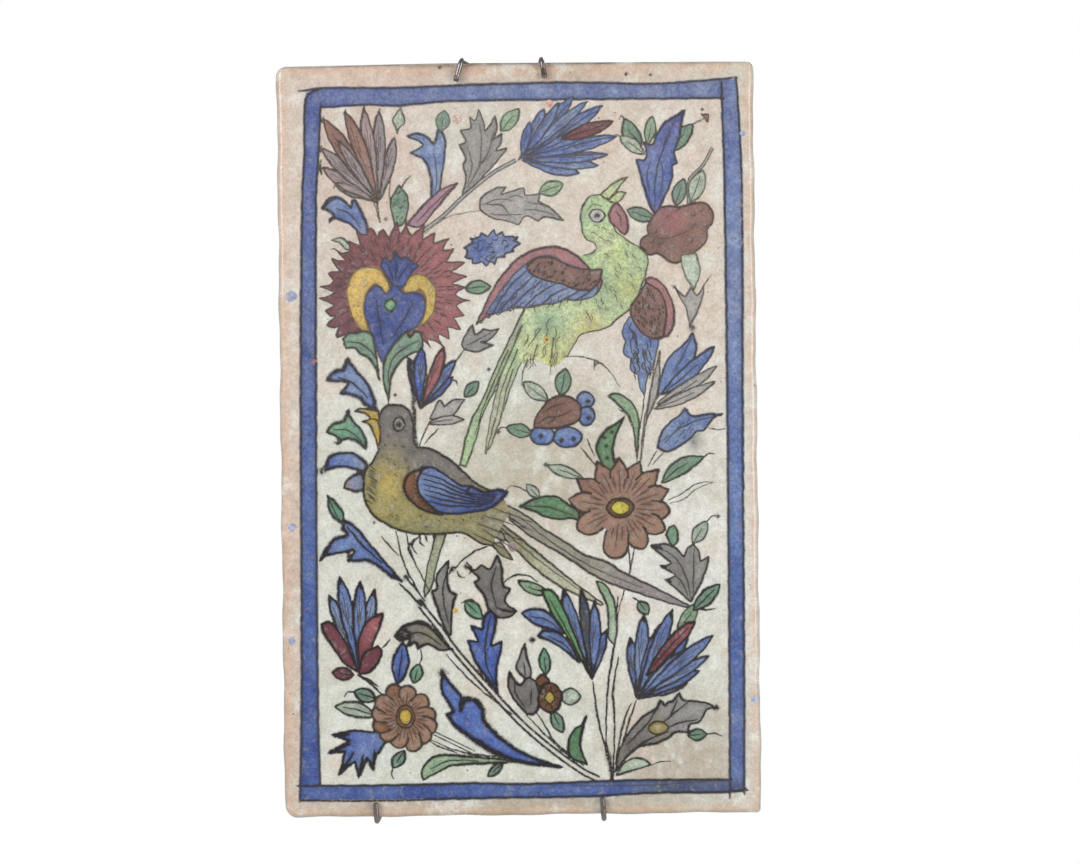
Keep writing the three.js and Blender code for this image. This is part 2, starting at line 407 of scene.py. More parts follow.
# %% The painter's colours
COLOURS = {  # name: (red, green, blue, cobalt specks, maroon stipple)
    "band": (90, 112, 168, 0.7, 0), "band_grey": (116, 132, 174, 0.6, 0),
    "band_slate": (86, 97, 122, 0.7, 0), "cobalt": (90, 114, 178, 1, 0), "cobalt_deep": (72, 92, 152, 1, 0),
    "cobalt_pale": (120, 142, 188, 0.8, 0), "sky": (136, 156, 192, 0.6, 0),
    "violet_blue": (104, 116, 170, 0.9, 0.1), "slate": (88, 96, 108, 0.6, 0),
    "green": (128, 158, 132, 0.1, 0), "green_deep": (102, 140, 102, 0.1, 0),
    "green_grass": (112, 160, 108, 0.1, 0), "green_jade": (122, 168, 135, 0.1, 0),
    "green_pale": (160, 186, 152, 0, 0), "mint": (150, 178, 142, 0, 0), "whitish": (190, 202, 180, 0, 0),
    "lime": (210, 220, 164, 0, 0), "olive": (150, 146, 106, 0, 0.1), "head_grey": (128, 122, 114, 0, 0.6),
    "head_green": (184, 209, 158, 0, 0), "grey": (162, 160, 154, 0, 0.5),
    "grey_pale": (184, 180, 173, 0, 0.4), "grey_deep": (136, 131, 125, 0, 0.8),
    "mauve": (180, 158, 157, 0, 0.5), "brown": (148, 112, 102, 0, 0.9), "tan": (148, 102, 70, 0, 0.8),
    "rust": (122, 84, 60, 0, 0.8), "maroon": (124, 69, 78, 0, 1), "rose": (172, 104, 108, 0, 0.9),
    "pink": (182, 128, 132, 0, 0.8), "ochre": (204, 172, 80, 0, 0.1), "yellow": (212, 196, 80, 0, 0),
    "straw": (214, 178, 90, 0, 0.1), "belly": (162, 151, 96, 0, 0.1), "blush": (222, 172, 158, 0, 0.2),
    "smudge": (176, 182, 204, 0.3, 0), "rust_red": (118, 80, 66, 0, 0.8),
    "tail_green": (176, 182, 152, 0, 0), "tail_grey": (170, 166, 148, 0, 0.4),
    "tail_pale": (206, 206, 176, 0, 0.2), "wine": (124, 72, 80, 0, 1),
    "rose_brown": (166, 124, 108, 0, 0.8), "lapis": (56, 80, 148, 1, 0),
    "tan_pale": (176, 144, 122, 0, 0.8), "plum": (184, 142, 160, 0, 0.6),
    "mauve_pale": (168, 156, 156, 0, 0.5), "grey_green": (152, 156, 146, 0, 0.3),
    "ground": (208, 202, 190, 0, 0), "white": (226, 224, 216, 0, 0), "slip_rose": (218, 192, 178, 0, 0),
    "slip_dusk": (200, 172, 150, 0, 0), "slip_cream": (222, 206, 191, 0, 0),
    "slip_white": (231, 229, 223, 0, 0), "slip_mint": (217, 221, 211, 0, 0),
    "slip_buff": (186, 177, 155, 0, 0), "slip_brown": (172, 158, 138, 0, 0),
    "slip_edge": (226, 180, 146, 0, 0),
}


def pigment(name):
    """One of the colours above, as the light it gives back and its specks and stipple."""
    return np.array([*paint_colour(*COLOURS[name][:3]), *COLOURS[name][3:]])


# %% [markdown]
# ## Brushes
# A painter of such tiles first draws every outline with a thin brush and then lays the washes in. Here each
# shape is a few points that a smooth curve passes through, and a point with a third number is a sharp
# corner. A wash is an area of colour, and it hides any line that is already under it. A line has a width
# that swells and thins. Both keep the rows that the face's triangles must follow. A stain is a soft blot
# without an edge.

# %% Brushes
hand = random.Random(7)
WAVER = 0.13  # how far the hand strays, in millimetres
# how wide a line is at its start, after a third of it and at its end, as shares of its full width
EVEN, POINTED = (1, 1, 1), (0.45, 1.0, 0.45)
layers, painted_rows = [], []  # what is painted, in order, and the rows that the triangles follow


def curve(points, spacing, closed=False):
    """A smooth row of (u, v) points through a few given ones."""
    total = len(points)
    at = [np.array(p[:2], float) for p in points]
    sharp = [len(p) > 2 or (not closed and i in (0, total - 1)) for i, p in enumerate(points)]

    def slope(i, way):
        before, here, after = at[i - 1], at[i], at[(i + 1) % total]
        if sharp[i]:
            start, end = (here, after) if way > 0 else (before, here)
            return (end - start) / max(1e-6, math.dist(start, end))
        return (after - before) / max(1e-6, math.dist(before, here) + math.dist(here, after))

    row = []
    for i in range(total if closed else total - 1):
        j = (i + 1) % total
        length = math.dist(at[i], at[j])
        leaving, reaching = slope(i, 1) * length, slope(j, -1) * length
        for t in np.arange(0, 1, 1 / max(1, math.ceil(length / spacing))):
            row.append(at[i] * (2 * t**3 - 3 * t**2 + 1) + leaving * (t**3 - 2 * t**2 + t)
                       + at[j] * (3 * t**2 - 2 * t**3) + reaching * (t**3 - t**2))
    return np.array(row if closed else row + [at[-1]])


def beside(row, offsets, closed):
    """The row moved sideways by the offsets."""
    if closed:
        along = np.roll(row, -1, axis=0) - np.roll(row, 1, axis=0)
    else:
        along = np.gradient(row, axis=0)
    along /= np.maximum(np.linalg.norm(along, axis=1), 1e-6)[:, None]
    return row + np.column_stack([-along[:, 1], along[:, 0]]) * offsets[:, None]


def nearest(row, closed, u, v):
    """For many points, how far the row is, and how far along the row its nearest place lies, in stations."""
    ends = np.roll(row, -1, axis=0) if closed else row[1:]
    starts = row if closed else row[:-1]
    best, where = np.full(len(u), 1e9), np.zeros(len(u))
    for i, (a, b) in enumerate(zip(starts, ends)):
        du, dv = b - a
        t = np.clip(((u - a[0]) * du + (v - a[1]) * dv) / max(du * du + dv * dv, 1e-9), 0, 1)
        gap = np.hypot(u - a[0] - t * du, v - a[1] - t * dv)
        closer = gap < best
        best[closer], where[closer] = gap[closer], (i + t)[closer]
    return best, where


def within(outline, u, v):
    """Which of many points lie inside the outline."""
    inside = np.zeros(len(u), bool)
    for (au, av), (bu, bv) in zip(outline, np.roll(outline, -1, axis=0)):
        if av != bv:
            crosses = ((av > v) != (bv > v)) & (u < (bu - au) * (v - av) / (bv - av) + au)
            inside ^= crosses
    return inside


def unsteady(row, closed):
    """The row with the small waves that a hand makes."""
    length = np.append(0, np.cumsum(np.linalg.norm(np.diff(row, axis=0), axis=1)))
    total = max(length[-1], 1e-6)
    waves = np.zeros(len(row))
    for wavelength in (9, 5, 2.8):
        turns = max(1, round(total / wavelength)) if closed else total / wavelength
        wave = np.sin(2 * math.pi * (length / total * turns + hand.random()))
        waves += wave * WAVER / 2 * (wavelength / 5) ** 0.5
    return beside(row, waves, closed)


EDGE = 0.6  # the ink value at a line's edge, between 1 on its middle and 0 on its outer rows


def ink_row(row, width, tone, closed=False, taper=POINTED):
    """A line along a row of points: its width in millimetres at its fullest, and how dark it is."""
    row = np.asarray(row, float)
    tone *= np.interp(row[:, 1].mean(), [-60, 60], [1, 0.74])  # the upper half was drawn with thinner ink
    t = np.linspace(0, 1, len(row))
    if closed:
        swell = 1 + 0.22 * np.sin(2 * math.pi * (t * 2 + hand.random())) * (len(row) > 6)
    else:
        swell = np.interp(t, [0, 0.35, 1], taper)
    outer = np.maximum(width * 1.12 * swell / 2 / (1 - EDGE), 0.35)
    layers.append(("ink", row, outer, tone, closed))
    painted_rows.append((row, closed))
    left, right = beside(row, outer, closed), beside(row, -outer, closed)
    if closed:
        painted_rows.extend([(left, True), (right, True)])
    else:
        start = row[0] - (row[1] - row[0]) / max(math.dist(row[0], row[1]), 1e-6) * outer[0]
        end = row[-1] + (row[-1] - row[-2]) / max(math.dist(row[-1], row[-2]), 1e-6) * outer[-1]
        painted_rows.append((np.vstack([left, end, right[::-1], start]), True))


def line(width, tone, *points, taper=POINTED, spacing=1.3):
    """An ink line through a few points."""
    ink_row(unsteady(curve(points, spacing=spacing), False), width, tone, taper=taper)


def dot(u, v, radius, tone):
    """A round blot of ink."""
    ink_row([(u - 0.05, v), (u + 0.05, v)], radius * 2, tone, taper=EVEN)
    angles = np.arange(8) * math.pi / 4
    painted_rows.append((np.stack([u + radius * np.cos(angles), v + radius * np.sin(angles)], 1), True))


def widened(outline, by):
    """A closed outline moved outwards, whichever way round it runs."""
    doubled = np.sum(outline[:, 0] * np.roll(outline[:, 1], -1) - outline[:, 1] * np.roll(outline[:, 0], -1))
    return beside(outline, np.full(len(outline), -by if doubled > 0 else by), True)


def wash_row(outline, colour, second=None, soft=True):
    """An area of colour. With a second colour it changes along the line between the two given places."""
    outline = np.asarray(outline, float)
    layers.append(("wash", outline, colour, second))
    if soft:
        painted_rows.extend([(outline, True), (widened(outline, 0.3), True)])


def shape(points, colour, width, tone=1.0, second=None, spacing=1.2):
    """A closed shape with a wash inside and, unless its width is 0, an ink line round it."""
    round_it = sum(math.dist(a[:2], b[:2]) for a, b in zip(points, points[1:] + points[:1]))
    outline = unsteady(curve(points, closed=True, spacing=min(spacing, round_it / 14)), True)
    wash_row(outline, colour, second, soft=not width)
    if width:
        ink_row(outline, width, tone, closed=True)


def leaf(base, tip, wide, colour, width, tone, bend=0.0, full=1.0, vein=0.65):
    """A leaf or petal from its base to its tip. `full` above 1 is widest near the tip. `bend` bows it."""
    base, tip = np.array(base, float), np.array(tip, float)
    along = tip - base
    across = np.array([-along[1], along[0]]) / np.linalg.norm(along)
    middle = lambda t: base + along * t + across * bend * 4 * t * (1 - t)
    half = lambda t: wide / 2 * math.sin(math.pi * t**full) ** 0.8
    sides = [[middle(t) + across * side * half(t) for t in (0.12, 0.3, 0.52, 0.74, 0.9)] for side in (1, -1)]
    shape([(*base, 1), *map(tuple, sides[0]), (*tip, 1), *map(tuple, sides[1][::-1])], colour, width, tone)
    if vein:
        line(width * 0.7, tone, tuple(middle(0.08)), tuple(middle(0.45)), tuple(middle(vein)))


def stain(u, v, reach, colour, strength=0.7, high=None, anywhere=False):
    """A soft blot of another colour, wet in wet, on what is already washed there."""
    layers.append(("stain", np.array([(u, v)], float), colour, strength, (reach, high or reach), anywhere))


def hatch(outline, strokes, run, width, tone, bow=0.3):
    """Short strokes scattered inside an outline. Each runs about as far and in the direction of `run`."""
    outline = np.array(outline, float)
    low, high = outline.min(axis=0), outline.max(axis=0)
    for _ in range(strokes):
        u, v = hand.uniform(low[0], high[0]), hand.uniform(low[1], high[1])
        if within(outline, np.array([u]), np.array([v]))[0]:
            du, dv = (part * hand.uniform(0.6, 1.3) for part in run)
            side = hand.uniform(-bow, bow)
            line(width, tone, (u, v), (u + du / 2 - dv * side, v + dv / 2 + du * side), (u + du, v + dv))


def disc(u, v, wide, colour, high, width=0.6, tone=0.9):
    """A round or oval shape."""
    shape([(u + wide * math.cos(a), v + high * math.sin(a)) for a in np.arange(6) * math.pi / 3],
          colour, width, tone)


def fan(base, petals, width, tone):
    """Petals that spread from one base. Each is (tip u, tip v, how wide, colour), the hindmost first."""
    for tip_u, tip_v, wide, colour in petals:
        run = np.array((tip_u - base[0], tip_v - base[1]))
        leaf(base + run * 0.03, (tip_u, tip_v), wide, colour, width, tone,
             full=1.4, bend=hand.uniform(-0.7, 0.7), vein=0)
        side = np.array((-run[1], run[0])) / np.linalg.norm(run) * wide
        for start, end, aside in ((0.35, 0.84, 0.02), (0.5, 0.74, 0.22), (0.55, 0.72, -0.2)):
            a, b = base + run * start + side * aside * 0.4, base + run * end + side * aside
            line(width * 0.6, tone * 0.55, tuple(a), tuple((a + b) / 2 + side * 0.03), tuple(b),
                 taper=(0.5, 1, 0.4))


def stem(*points, tone, gap=1.3, colour=None, width=0.4):
    """Two thin lines side by side with a wash between."""
    row = curve(points, spacing=1.5)
    half = np.full(len(row), gap / 2)
    if colour:
        wash_row(np.vstack([beside(row, half, False), beside(row, -half, False)[::-1]]), colour, soft=False)
    for side in (half, -half):
        ink_row(beside(row, side, False), width, tone, taper=(0.9, 1, 0.8))


told = [0]


def tell(part):
    """Print how many washes and lines a part of the picture has."""
    print(f"{part}: {len(layers) - told[-1]} washes, stains and lines")
    told.append(len(layers))


# %% [markdown]
# ## The border
# The border is a band of blue between two ruled ink lines, laid on by a brush that ran wet and dry along
# it. Each side is its own stroke, so their ends overshoot at the corners.

# %% The border
OUTER = {
    "top": [(-89, 144.5), (-78, 145.7), (-51, 145.3), (-27, 146), (0, 146.5), (20, 146.8), (60, 145.9),
            (91.5, 148)],
    "left": [(-81, 145), (-85, 143), (-86.5, 139), (-86.8, 120), (-88, 100), (-89.5, 20), (-90.5, -100),
             (-91.8, -148)],
    "bottom": [(-91.5, -147.5), (-60, -148), (-20, -147.3), (30, -147), (50, -146), (85, -146),
               (92.5, -145.2)],
    "right": [(91.2, 148), (92.8, 115), (93, 80), (92.3, 20), (91.5, -110), (91, -147)]}
INNER = {
    "top": [(-80, 137.6), (-60, 138.6), (-50, 138), (-27, 139.6), (20, 139.8), (86, 139.6)],
    "left": [(-80, 138.5), (-81, 120), (-82.3, 100), (-83.3, 20), (-84, -100), (-83.5, -142)],
    "bottom": [(-93, -141.5), (-50, -141.6), (-20, -141.2), (0, -141.8), (30, -141), (60, -140.7),
               (86, -140.8)],
    "right": [(85, 146), (85.8, 110), (86, 20), (85.7, -75), (85.2, -148.5)]}
for side, left_end, lower_end, second in (
        ("left", -92, -147.6, None), ("right", -92, -145.2, ("cobalt_pale", (88, -140), (88, 60))),
        ("bottom", -92, -147.6, ("band_slate", (40, -144), (86, -144))),
        ("top", -86.3, -147.6, ("band_grey", (-80, 142), (30, 142)))):
    outer, inner = curve(OUTER[side], spacing=3.5), curve(INNER[side], spacing=3.5)
    band = widened(np.vstack([outer, inner[::-1]]), 0.5)
    band = np.clip(band, (left_end, lower_end), (93, 148))  # only its lines overshoot
    wash_row(band, "band", second, soft=False)
for side in OUTER:
    for row in (OUTER[side], INNER[side]):
        line(0.75, 0.85, *row, taper=(0.8, 1, 0.9), spacing=3.2)
for u, v, reach, colour in (
        (-86, 139, 9, "cobalt_deep"), (-87, 30, 14, "cobalt_deep"), (-88, -120, 30, "cobalt_deep"),
        (89, 130, 14, "cobalt_deep"), (-20, 143, 16, "band_grey"), (89, 60, 20, "band_grey"),
        (60, -144, 14, "slate"), (-40, -144.5, 12, "cobalt_deep"), (89, -60, 16, "band"),
        (89, -125, 20, "band_grey")):
    stain(u, v, reach, colour)
line(0.4, 0.4, (20, -142.7), (50, -142.8), (85, -141.3), spacing=3)
tell("the border")

# %% [markdown]
# ## The top left spray
# A fan of mauve petals, small buds, a curled blue leaf and two ragged grey leaves on one thin stem. These
# upper parts were drawn with a thinner, greyer line than the lower left. Petals of a fan are laid from the
# back to the front, so that each hides part of the one before.

# %% The top left spray
stem((-39, 86), (-30, 92.5), (-22, 100), (-10, 109.5), (0, 115), colour="grey_pale", tone=0.6)
line(0.4, 0.5, (-38, 85), (-28, 92), (-15, 94.5), (-4, 97))
line(0.5, 0.7, (-50, 88), (-52, 100), (-51, 114), (-50, 125))
fan((-56.5, 98), [(-74, 105.5, 4.6, "grey_green"), (-79.5, 113, 4.8, "mauve"), (-80, 121, 5, "mauve_pale"),
                  (-49.7, 125, 4.6, "mauve_pale"), (-79, 133, 6.5, "rose_brown"),
                  (-56, 136, 5.2, "mauve_pale"), (-62.3, 137, 5.2, "mauve"), (-70, 136, 5.4, "rose_brown"),
                  (-73, 124, 4, "mauve_pale")], 0.55, 0.8)
for u, v in ((-79, 133), (-70, 136), (-62.3, 137), (-56, 136), (-80, 121)):
    line(0.9, 0.85, (u - 0.3, v - 1.8), (u, v), (u + 0.3, v + 0.9))
stain(-72, 124, 5, "brown", 0.6)
stain(-66, 112, 6, "mauve_pale", 0.5)
line(1.1, 0.9, (-80, 110), (-80.6, 113), (-80, 116))
line(0.7, 0.8, (-75, 104), (-74, 106.5), (-71, 106))
line(0.7, 0.85, (-57.5, 100), (-56.8, 95), (-56, 90))
line(0.5, 0.75, (-59.5, 101), (-57.5, 95), (-56.3, 90))
shape([(-48.5, 126.5, 1), (-47.6, 129), (-45.5, 131), (-47, 137, 1), (-50.5, 132), (-49, 129)], "whitish",
      0.5, 0.7)
shape([(-48, 105, 1), (-44.5, 100), (-46, 90), (-50, 88, 1), (-51.5, 99)], "green", 0.5, 0.8)
hatch([(-51, 90), (-46, 90), (-45, 100), (-48, 104), (-51, 99)], 14, (-1.6, -1.0), 0.45, 0.6)
line(0.7, 0.8, (-47, 104), (-45.5, 107), (-43, 109))
shape([(-34.8, 100, 1), (-35, 109), (-38, 116), (-43.5, 118.5, 1), (-40, 120), (-38, 122), (-44.5, 125.5, 1),
       (-40, 126.5), (-36, 124.5), (-33.5, 122, 1), (-32, 126), (-31.5, 129, 1), (-29, 124), (-29.5, 115),
       (-31, 106), (-31.5, 100, 1)], "sky", 0.7, 0.85)
line(0.5, 0.6, (-33, 102), (-32.5, 110), (-33.5, 118))
leaf((-30.5, 127), (-29, 136), 5.5, "green", 0.35, 0.5)
shape([(-80, 96, 1), (-77, 100), (-73, 100.5), (-69.5, 98), (-68, 96, 1), (-67, 99.5), (-64.5, 96), (-62, 90),
       (-61, 84), (-63, 83, 1), (-65, 86), (-69, 90), (-76, 92), (-77, 90.5, 1), (-75, 93), (-78, 95.5)],
      "cobalt_pale", 0.8, 0.95)
line(1.3, 1, (-79.5, 96), (-76.5, 99.5), (-72.8, 100.3), (-69.6, 98))
line(0.55, 0.8, (-74, 96), (-69, 94), (-64, 88))
shape([(-76, 83, 1), (-72, 84), (-68, 80), (-67, 79, 1), (-70, 79), (-73, 82)], "whitish", 0.5, 0.8)
shape([(-45, 89, 1), (-38, 97), (-31, 103), (-24, 106, 1), (-27, 102.5), (-33, 95.5), (-40, 88)], "plum", 0.6,
      0.8)
line(0.45, 0.7, (-41, 90), (-33, 98), (-26.5, 104))
shape([(-22, 101, 1), (-20.5, 108), (-21.5, 113.5), (-20.5, 116), (-23, 121.5, 1), (-20.5, 123),
       (-22.5, 127.5, 1), (-18.5, 128.5), (-18.5, 133, 1), (-16.5, 131.5), (-15, 136, 1), (-13, 131),
       (-12.5, 127, 1), (-10.8, 129), (-8.3, 133.2, 1), (-7.5, 128), (-9.5, 123.5, 1), (-5.5, 126, 1),
       (-6, 122.5), (-8, 119, 1), (-3.5, 120, 1), (-6.5, 116), (-12, 110), (-18, 104)], "grey", 0.5, 0.7)
line(0.45, 0.55, (-19.5, 106), (-18, 114), (-20, 121))
line(0.45, 0.55, (-16, 111), (-11, 119), (-9, 127))
line(0.5, 0.5, (-20, 104), (-15, 113), (-14, 124), (-14.5, 130))
line(0.45, 0.5, (-15, 113), (-10, 117.5))
leaf((-6, 127), (1.5, 136), 6, "green_pale", 0.5, 0.75, vein=0.7)
shape([(-15, 95, 1), (-14, 100), (-8, 103.5), (-4, 104, 1), (-6, 101), (3, 103.5), (3.5, 100.5, 1),
       (10, 101, 1), (9, 98, 1), (13, 96), (19.5, 90, 1), (12, 91.5), (9, 90, 1), (4, 92), (1, 88.5, 1),
       (-4, 90), (-10, 91.5), (-14, 94)], "grey_pale", 0.5, 0.7)
line(0.4, 0.6, (-3, 99.5), (0, 100.5), (3, 99.5))
line(0.4, 0.6, (5, 97.5), (9, 97), (14, 95))
line(0.4, 0.6, (3, 94.5), (10, 94.2), (16, 92))
line(0.55, 0.7, (-12, 97), (-6, 96.5), (-3, 93))
line(0.4, 0.6, (-14, 96.5), (-8, 99), (-2, 98.5))
line(0.4, 0.6, (-11, 93), (-4, 92.5), (2, 92.8))
stain(-8, 97, 6, "mauve_pale", 0.4)
stain(-15, 122, 7, "mauve_pale", 0.3)
tell("the top left spray")

# %% [markdown]
# ## The top right spray
# A wide blue fan, a palmette of blue and green petals, and the brown flower behind the upper bird's beak.

# %% The top right spray
fan((2, 115), [(26, 109.5, 5, "cobalt_pale"), (34, 112.5, 4.4, "sky"), (38, 117, 4, "cobalt_pale"),
               (42, 124.5, 5, "cobalt_pale"), (36, 137, 5.4, "cobalt_pale"), (40, 130.5, 5, "cobalt_pale"),
               (24, 141, 5.4, "cobalt_pale"), (30, 139, 4, "sky"), (12, 136, 4.8, "sky"),
               (18, 138.5, 4, "cobalt_pale"), (6, 130.5, 3.6, "cobalt_pale")], 0.5, 0.7)
leaf((19, 123.5), (40.5, 130.5), 5.4, "maroon", 0.5, 0.8, vein=0.8)
line(0.4, 0.6, (19, 122.5), (10, 118.5), (3, 115.5))
stain(12, 128, 6, "violet_blue", 0.5)
for tip in ((23.5, 139), (35, 135.5), (41, 124.2), (37, 116.9)):
    start = (2 + (tip[0] - 2) * 0.45, 115 + (tip[1] - 115) * 0.45)
    line(0.4, 0.7, start, (start[0] * 0.4 + tip[0] * 0.6, start[1] * 0.4 + tip[1] * 0.6 + 0.6), tip)
line(0.8, 0.8, (1, 115), (5, 119), (12, 121))
leaf((9.5, 101.5), (19.5, 105), 6, "green_pale", 0.5, 0.75, vein=0.8)
leaf((52, 121), (45, 131.5), 6.5, "green", 0.6, 0.85, bend=1.2)
line(0.6, 0.8, (45.5, 131), (43.6, 133), (43, 131.3))
leaf((54.5, 121), (56.5, 132.5), 4.5, "green_pale", 0.5, 0.75)
leaf((62.5, 117.5), (73, 129), 6.5, "green", 0.6, 0.85)
line(0.6, 0.8, (73, 129), (76, 130.3), (78.5, 132))
shape([(76.5, 133.2, 1), (79.6, 132.9, 1), (79.2, 129.8, 1), (77.8, 131.6)], "brown", 0.4, 0.7)
leaf((53, 117), (43, 124.5), 5, "whitish", 0.5, 0.75)
line(0.5, 0.75, (43, 124.5), (41.5, 125.2), (40, 124.5))
shape([(57, 91.5, 1), (54, 99), (51.5, 108), (49.8, 114.5, 1), (53.4, 114.8), (53.8, 119), (52.6, 122, 1),
       (56.4, 120.6), (58.2, 125), (62, 130), (66.2, 132.5), (69.6, 134.6, 1), (68.3, 129), (67.2, 122.5),
       (65.2, 117.5), (66.6, 113, 1), (64.3, 112), (64.6, 108), (63, 103.5), (60, 97)], "cobalt", 0.65, 0.85,
      second=("violet_blue", (60, 98), (62, 130)))
line(0.5, 0.7, (57.2, 94), (57.2, 104), (59, 114), (64, 126))
line(0.45, 0.65, (61, 118), (61.5, 122), (65.5, 130))
line(0.45, 0.6, (59, 99), (60.5, 107), (60, 113))
line(0.45, 0.6, (55, 101), (54, 108), (55.5, 114))
stem((71, 96), (71.5, 106), (77, 112), (81, 119), colour="grey_pale", gap=1.0, tone=0.6)
leaf((57, 90), (45.5, 94), 5.5, "green", 0.5, 0.8, vein=0.8)
leaf((65.5, 95.5), (69, 106.5), 5.5, "green", 0.5, 0.8)
leaf((72, 97), (77, 110), 6.5, "whitish", 0.5, 0.75, vein=0.8)
shape([(55.5, 90), (59, 94.5), (63, 95.5, 1), (68, 95), (72, 96.2), (77, 96.6), (80.6, 93.5), (80.8, 89),
       (78.6, 85.5, 1), (78, 81), (75, 77.5, 1), (71, 75), (66, 72), (62, 73, 1), (58, 76), (54, 75.5),
       (51, 78), (51.5, 82), (54.2, 84, 1), (54, 87)], "brown", 0.55, 0.8)
stain(64, 90, 6, "rose", 0.85)
stain(75, 91, 5, "brown", 0.7)
stain(56, 80, 4, "rust_red", 0.6)
stain(70, 80, 5, "rust_red", 0.4)
hatch([(56, 90), (62, 94), (79, 94), (79, 87), (74, 79), (64, 74), (54, 78)], 14, (1.8, 1.1), 0.5, 0.5,
      bow=0.8)
line(0.4, 0.5, (55, 83.5), (61, 82), (68, 84), (74, 87))
for turn in range(3):
    line(0.9, 0.95, (51, 79 - turn * 0.7), (51.9, 77.6 - turn * 0.3), (53, 77.4 - turn * 0.2))
tell("the top right spray")

# %% [markdown]
# ## The upper bird
# It lifts its head with its beak open upwards. Its wings are half spread, and its long tail runs down
# between the flowers. Tail first, then body, wings and head, so that the nearer parts hide the farther
# ones. Each wing has three bands: a pink rim, brown small feathers and blue long ones.

# %% The upper bird's tail and body
shape([(4, 55), (1, 50), (-2, 44), (-6, 36), (-9, 30), (-12, 23), (-15, 16), (-19, 9), (-22, 0),
       (-24.2, -10, 1), (-22, -11, 1), (-17.8, 0), (-15, 10), (-10, 20), (-7, 27), (-2.5, 34), (1, 40),
       (5, 48.5, 1)], "tail_green", 0.55, 0.8, second=("head_green", (0, 45), (-20, -5)))
shape([(-34.7, -38.5, 1), (-36, -44), (-37.8, -50), (-39.5, -60), (-39.5, -64.5, 1), (-36.7, -60),
       (-34.2, -50), (-32, -43), (-30.5, -38.5, 1)], "tail_green", 0.5, 0.85)
shape([(2, 47), (-2, 38), (-6.5, 28), (-10, 16), (-12.5, 4), (-14, -5.5, 1), (-12, -3), (-9.5, 3), (-6, 13),
       (-2.5, 23), (2, 33), (5, 38, 1)], "tail_pale", 0.45, 0.6, second=("head_green", (-8, 8), (0, 40)))
upper_body = [(26.5, 90, 1), (27.5, 85), (29, 82), (32, 80.5), (33, 78.5), (31, 76.5), (27.5, 75.5, 1),
              (12, 70), (4, 55, 1), (1, 45), (0, 37), (2, 31, 1), (8, 33), (14, 30), (20.5, 34), (22, 37),
              (24, 40), (25.5, 42.5), (29, 44), (33, 44.5), (38, 46.5), (42, 50), (46, 53), (49, 57),
              (51, 62), (53, 68), (54, 74), (50, 79), (47, 80.5), (44, 83), (41, 85, 1), (34, 88)]
shape(upper_body, "lime", 0,
      second=("head_green", (10, 40), (32, 80)))
for u, v, reach, colour, strength in ((12, 48, 8, "mint", 1), (36, 60, 8, "mint", 0.8),
                                      (30, 47, 5, "ochre", 0.6), (24, 40, 5, "ochre", 0.3),
                                      (46, 62, 7, "yellow", 0.4), (40, 76, 6, "yellow", 0.3),
                                      (14, 34, 7, "yellow", 0.35)):
    stain(u, v, reach, colour, strength)
hatch([(30, 78), (40, 84), (52, 76), (53, 68), (46, 55), (32, 48), (22, 50), (30, 60)], 46, (1.2, -2.0), 0.4,
      0.5)
hatch([(12, 52), (20, 52), (20, 38), (12, 30), (0, 30), (4, 44)], 30, (-1.5, -4.5), 0.4, 0.6)
for row in ([(0, 37), (-4, 28), (-7, 20), (-9, 10)], [(-2, 29), (-5, 20), (-7, 10)],
            [(-9.5, 9), (-12, 0), (-13.5, -6)], [(9.4, 45.6), (7, 42), (4.4, 38.3)],
            [(14.7, 41.7), (13.6, 32.8), (13.3, 26.7)], [(8, 39), (6.6, 34), (6, 30)],
            [(4, 33), (2.2, 28.3), (1.4, 22.2)], [(2, 47), (-1, 40), (-5, 31)],
            [(-4, 37), (-9, 26), (-14, 14)], [(-10, 24), (-15, 12), (-18, 2)]):
    line(0.5, 0.75, *row, taper=(0.9, 0.8, 0.3))
for row in (upper_body[4:7], upper_body[27:13:-1]):
    line(0.65, 0.85, *row)
tell("the upper bird's tail and body")

# %% The upper bird's wings
shape([(-17, 47.5, 1), (-13.5, 55), (-11, 60), (-8, 65), (-4, 70), (0, 74), (5, 77), (12, 79), (19, 78.5),
       (25, 75), (31, 69), (35, 65), (31, 58.5), (20, 57.5), (10, 55.5), (4, 54.5), (-4, 54), (-12, 51)],
      "pink", 0.65, 0.85)
shape([(-13, 52, 1), (-9, 58), (-3, 66), (4, 72.5), (9, 75), (14, 75.5), (20, 72.5), (26, 70), (33, 67),
       (33, 61), (31, 58.5, 1), (25, 57), (20, 57.5), (16, 56), (10, 55.5), (4, 54.5), (-3, 54), (-8, 52)],
      "sky", 0.4, 0.7, second=("band_grey", (8, 70), (2, 56)))
hatch([(-13, 52), (-4, 66), (4, 69), (20, 62), (30, 60), (16, 56.5), (-2, 54)], 40, (-2.2, -2.6), 0.45, 0.6)
hatch([(-13, 52), (-6, 54.5), (6, 56.5), (20, 59), (31, 60.5), (31, 58.5), (10, 55.5), (-4, 54), (-13, 50.5)],
      34, (-1.5, -2.4), 0.45, 0.7)
for start, bend, end in (((4, 69.5), (-3, 63), (-11, 51)), ((7, 67.5), (0, 61), (-8, 52.5)),
                         ((11, 66), (4, 60.5), (-3, 54)), ((16, 64), (9, 60), (3, 54.6)),
                         ((21, 62.5), (15, 59.5), (10, 55.6)), ((26, 61.3), (22, 59), (17, 56.3)),
                         ((31, 61.3), (28, 59.4), (24, 57.2))):
    line(0.55, 0.75, start, bend, end, taper=(0.6, 1, 0.8))
for u, v in ((-12, 51), (-15, 49), (-8, 52.3), (-3, 53.9)):
    line(0.5, 0.8, (u + 2, v + 1.5), (u, v - 1), (u - 1.2, v + 0.4))
